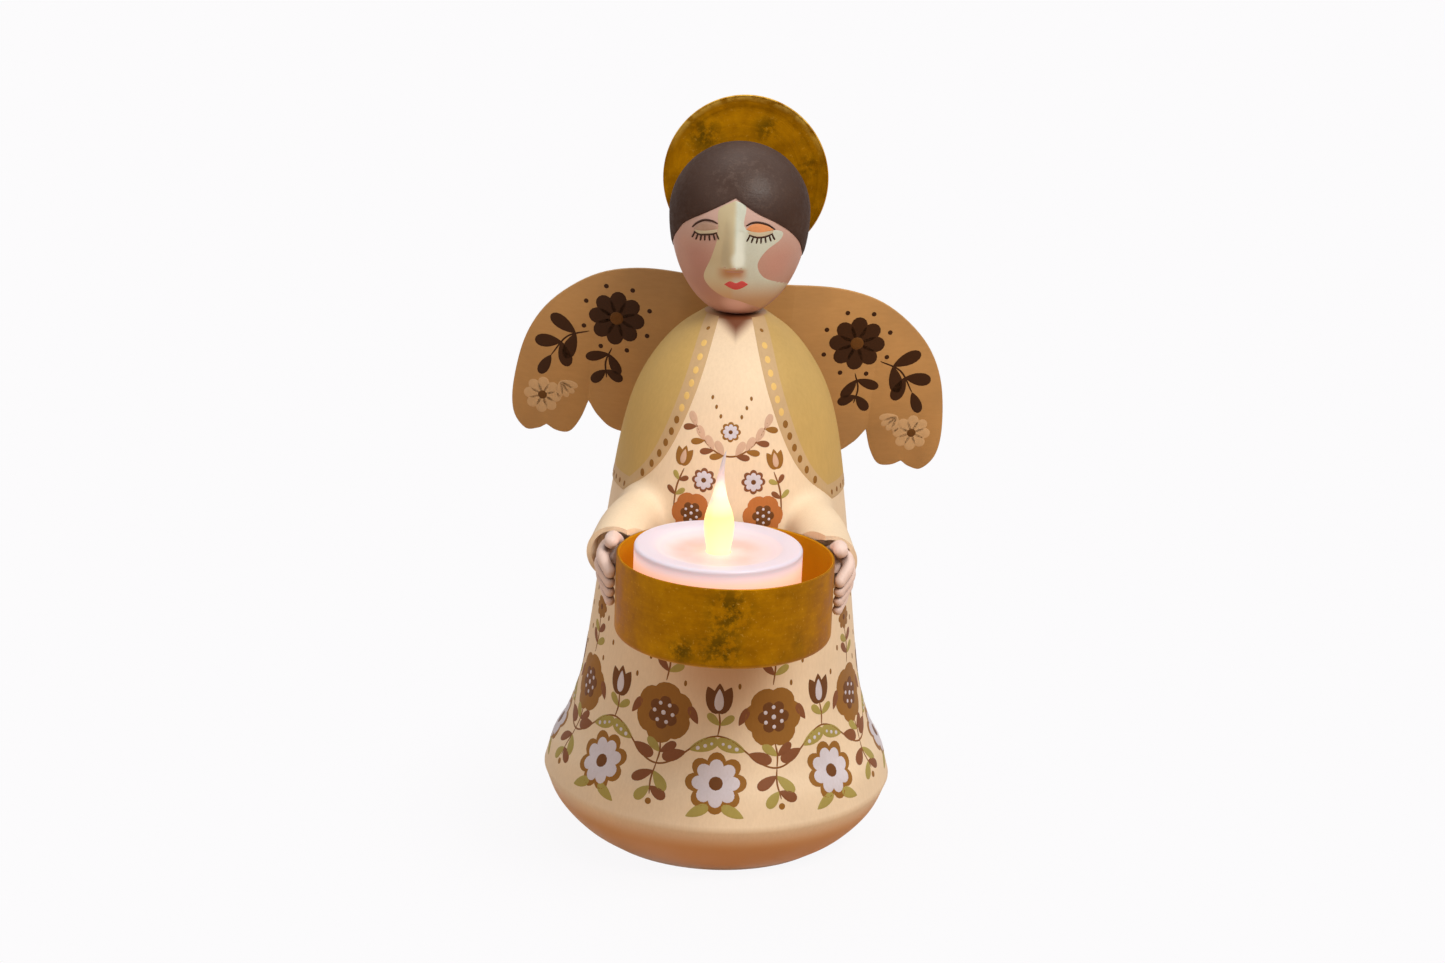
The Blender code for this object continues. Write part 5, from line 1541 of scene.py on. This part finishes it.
def paint_wings():
    """On each wing a dark daisy with two leafy sprigs, and a pale daisy and drops near the tips."""
    art = Painting("feathers", "wing_paint")
    for side in (-1, 1):
        flower = wing_spot(side, 30.0, 121.0)
        daisy(art, flower, 7.0 * MM, DARK_LEAF, None, DARK_CORE)
        for k in range(8):
            art.dot(DARK_LEAF, turned((0.0, 8.6 * MM), 45 * k + 22.5), 0.6 * MM, flower)
        place = wing_spot(side, 36.5, 116.5)
        stem = in_mm((0.0, 0.0), (5.4, -2.4), (9.0, -8.0))
        sprig(art, place, stem, DARK_LEAF, (0.28, 0.68), (DARK_LEAF,), 8.4 * MM)
        art.patch(DARK_LEAF, leaf(6.0 * MM, 2.8 * MM, -155, stem[-1]), place)
        stem = in_mm((0.0, 0.0), (1.2, -4.0), (0.6, -8.0))
        sprig(art, wing_spot(side, 30.5, 113.0), stem, DARK_LEAF, (0.2, 0.75), (DARK_LEAF,), 6.4 * MM)
        daisy(art, wing_spot(side, 46.8, 97.5), 4.8 * MM, PALE_LEAF, None, DARK_CORE)
        for k in range(4):
            art.patch(PALE_LEAF, leaf(4.6 * MM, 2.0 * MM, 100 + 26 * k), wing_spot(side, 42.6, 102.0))
    art.finish()


def in_mm(*points):
    return [Vector(point) * MM for point in points]


def face_place(point, lift):
    return head_place() @ on_face(point.x, point.y, lift)


# Lines on the face, as (x, z) in millimetres from the head's middle
PALE_LEFT = (
    (-0.3, 5.4), (-3.7, 3.4), (-3.8, -0.5), (-3.9, -2.3), (-4.0, -4.1), (-5.3, -8.5), (-7.0, -13.1),
    (-5.7, -15.9), (-2.4, -18.2), (1.8, -19.4), (6.2, -21.7),
)
PALE_RIGHT = (
    (0.1, 5.5), (2.5, 4.2), (2.7, -0.8), (10.2, -1.4), (10.7, -3.4), (7.4, -6.2), (5.6, -9.6),
    (7.2, -13.0), (12.0, -15.5), (10.8, -17.8), (6.4, -21.6),
)
BROW_LEFT = ((-10.1, -1.7), (-8.7, -0.3), (-7.0, 0.5), (-5.3, 0.5), (-3.9, 0.0))
BROW_RIGHT = ((2.7, -0.1), (4.0, 0.6), (5.6, 0.7), (7.6, 0.1), (9.3, -1.1))
LASHES_LEFT = ((-9.6, -2.6), (-8.3, -3.1), (-6.9, -2.9), (-5.2, -2.6), (-4.0, -2.1))
LASHES_RIGHT = ((3.4, -2.2), (4.8, -2.7), (6.2, -2.8), (7.7, -2.5), (8.8, -2.0))
LID_CREAM = rgb(210, 202, 176)
INK = rgb(62, 38, 26)

# Colour, layer, upper line and lower line of each lid, of the pale rim below it, and of the mouth
FACE_PANELS = (
    (rgb(234, 162, 112), 2, ((2.7, -0.9), (4.0, 0.2), (5.7, 0.45), (7.4, 0.0), (9.0, -1.1)),
     ((2.9, -1.0), (4.2, -1.5), (5.8, -1.7), (7.4, -1.5), (8.9, -1.2))),
    (LID_CREAM, 1, ((3.0, -1.4), (4.2, -1.3), (5.8, -1.5), (7.4, -1.3), (9.0, -1.3)),
     ((3.2, -1.9), (4.6, -2.6), (6.2, -2.8), (7.7, -2.4), (8.9, -1.7))),
    (rgb(188, 160, 144), 2, ((-9.7, -2.0), (-8.6, -0.8), (-7.0, 0.1), (-5.3, 0.1), (-3.9, -0.5)),
     ((-9.5, -2.1), (-8.2, -2.2), (-6.9, -2.1), (-5.2, -1.7), (-4.0, -1.3))),
    (LID_CREAM, 1, ((-9.5, -2.2), (-8.2, -2.0), (-6.9, -1.9), (-5.2, -1.5), (-4.0, -1.2)),
     ((-9.4, -2.5), (-8.2, -3.0), (-6.9, -2.9), (-5.2, -2.5), (-4.0, -2.0))),
    (rgb(214, 88, 90), 2, ((-2.1, -14.8), (-0.7, -13.9), (0.7, -14.3), (2.1, -13.7), (3.5, -14.5)),
     ((-2.0, -14.9), (-0.7, -15.7), (0.7, -16.1), (2.1, -15.6), (3.4, -14.7))),
)


def paint_face():
    """A pale plane down the nose, closed lids with lashes, brows and a small mouth."""
    pale = Painting("face_pale", "head_paint")
    pale.panel(LID_CREAM, smooth(in_mm(*PALE_LEFT)), smooth(in_mm(*PALE_RIGHT)), face_place, 0, 24)
    pale.finish(0.5, pale_skin())
    art = Painting("face", "head_paint")
    for colour, layer, upper, lower in FACE_PANELS:
        art.panel(colour, smooth(in_mm(*upper)), smooth(in_mm(*lower)), face_place, layer, 6)
    for line in (BROW_LEFT, BROW_RIGHT):
        art.stroke(INK, in_mm(*line), 0.52 * MM, face_place, 3)
    for line in (LASHES_LEFT, LASHES_RIGHT):
        art.stroke(INK, in_mm(*line), 0.5 * MM, face_place, 3)
        path = smooth(in_mm(*line), 12)
        for k in range(7):
            root = path[round(between(2, len(path) - 3, k / 6))]
            tip = root + Vector((between(-0.7, 0.7, k / 6) * MM, -1.5 * MM))
            bend = root.lerp(tip, 0.5) + Vector((0.0, -0.1 * MM))
            art.stroke(INK, [root, bend, tip], 0.42 * MM, face_place, 3)
    art.finish(0.5)


# The solids that stay as they are

def dress_inner_nodes():
    """Gives the solids that nothing replaces their finishes."""
    metal = steel()
    wax = plain_plastic("base_white", rgb(236, 230, 226), 0.45)
    finishes = {
        "switch_slider": plain_plastic("switch_black", rgb(32, 30, 30), 0.5), "candle_base": wax,
        "battery_cover": wax, "led": plain_plastic("led_amber", rgb(250, 224, 150), 0.2),
    }
    for node in ("halo_nail", "wing_screw_left", "wing_screw_right", "dish_screw", "coin_cell",
                 "contact_plus", "contact_minus", "cover_screw", "switch_case"):
        finishes[node] = metal
    for node, finish in finishes.items():
        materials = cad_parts[node].data.materials
        materials.clear()
        materials.append(finish)


# Camera, floor and light

def add_to_scene(name, data):
    made = bpy.data.objects.new(name, data)
    bpy.context.scene.collection.objects.link(made)
    return made


def make_camera():
    data = bpy.data.cameras.new("camera")
    data.lens = CAMERA_LENS
    data.sensor_width = 36.0
    data.sensor_fit = "HORIZONTAL"
    data.clip_start = 0.01
    camera = add_to_scene("camera", data)
    turn = tilted(90.0 - CAMERA_PITCH, "X") @ tilted(CAMERA_ROLL, "Z")
    camera.matrix_world = Matrix.Translation(CAMERA_PLACE) @ turn
    bpy.context.scene.camera = camera


BACKDROP = rgb(252, 251, 252)


def seen_directly(tree):
    """1 for what is seen directly, in metal or through glass, and 0 for light that falls on the object."""
    path = add_node(tree, "LightPath")
    total = path.outputs["Is Camera Ray"]
    for name in ("Is Glossy Ray", "Is Transmission Ray"):
        total = add_node(tree, "Math", {0: total, 1: path.outputs[name]}, operation="MAXIMUM").outputs[0]
    return total


def mix_shaders(tree, share, first, second):
    return add_node(tree, "MixShader", {0: share, 1: first.outputs[0], 2: second.outputs[0]})


def make_world():
    world = bpy.data.worlds.new("studio")
    bpy.context.scene.world = world
    world.use_nodes = True
    tree = world.node_tree
    shown = tree.nodes["Background"]
    shown.inputs["Color"].default_value = BACKDROP
    light = add_node(tree, "Background", {"Color": rgb(255, 246, 236), "Strength": 0.32})
    mix = mix_shaders(tree, seen_directly(tree), light, shown)
    tree.links.new(mix.outputs[0], tree.nodes["World Output"].inputs["Surface"])


def make_floor():
    """A pale floor that shows as the backdrop, with a soft shadow near the foot and warm light thrown up."""
    paint = Paint("floor_pale", 1.0)
    tree = paint.tree
    paint.set("Base Color", rgb(250, 249, 250))
    paint.set("Specular IOR Level", 0.0)
    white = paint.node("Emission", {"Color": BACKDROP})
    warm = paint.node("BsdfDiffuse", {"Color": rgb(196, 158, 118)})
    away = paint.node("VectorMath", {0: paint.place}, operation="LENGTH").outputs["Value"]
    keep = paint.span(away, 0.8 * HEM_RADIUS, 2.4 * HEM_RADIUS, 0.05, 0.0)
    shadow = mix_shaders(tree, keep, white, paint.shader)
    mix = mix_shaders(tree, seen_directly(tree), warm, shadow)
    tree.links.new(mix.outputs[0], tree.nodes["Material Output"].inputs["Surface"])
    bm = bmesh.new()
    bmesh.ops.create_grid(bm, x_segments=2, y_segments=2, size=3.0)
    floor = new_object("floor", move(bm, (0.0, 0.0, -0.05 * MM)), paint.made)


def make_lamp(name, place, size, power, colour):
    """A square lamp that faces the angel's middle."""
    data = bpy.data.lights.new(name, "AREA")
    data.size = size
    data.energy = power
    data.color = colour
    lamp = add_to_scene(name, data)
    lamp.location = place
    lamp.rotation_mode = "QUATERNION"
    lamp.rotation_quaternion = (Vector((0.0, 0.0, 0.09)) - Vector(place)).to_track_quat("-Z", "Y")


def make_lights():
    make_lamp("key", (0.50, -0.55, 0.95), 0.4, 9.0, (1.0, 0.95, 0.88))
    make_lamp("fill", (-0.7, -0.6, 0.45), 0.6, 1.4, (1.0, 0.95, 0.90))
    make_lamp("top", (-0.1, 0.1, 0.9), 0.5, 1.6, (1.0, 0.97, 0.93))
    data = bpy.data.lights.new("flame_glow", "POINT")
    data.energy = 0.0050
    data.color = (1.0, 0.52, 0.32)
    data.shadow_soft_size = 2.5 * MM
    lamp = add_to_scene("flame_glow", data)
    lamp.location = (candle_axis.x, candle_axis.y, pool_top + 0.4 * FLAME_HEIGHT)


for make in (make_camera, make_world, make_floor, make_lights,
             make_gown, make_mantle, make_head, make_hair, make_halo, make_wings):
    make()
make_hand("hand_left_form", -1, "hand_left")
make_hand("hand_right_form", 1, "hand_right")
for make in (make_dish, make_shell, make_flame, paint_skirt, paint_chest, paint_mantle_dots, paint_wings,
             paint_face, dress_inner_nodes):
    make()
bpy.context.scene.view_settings.view_transform = "Standard"
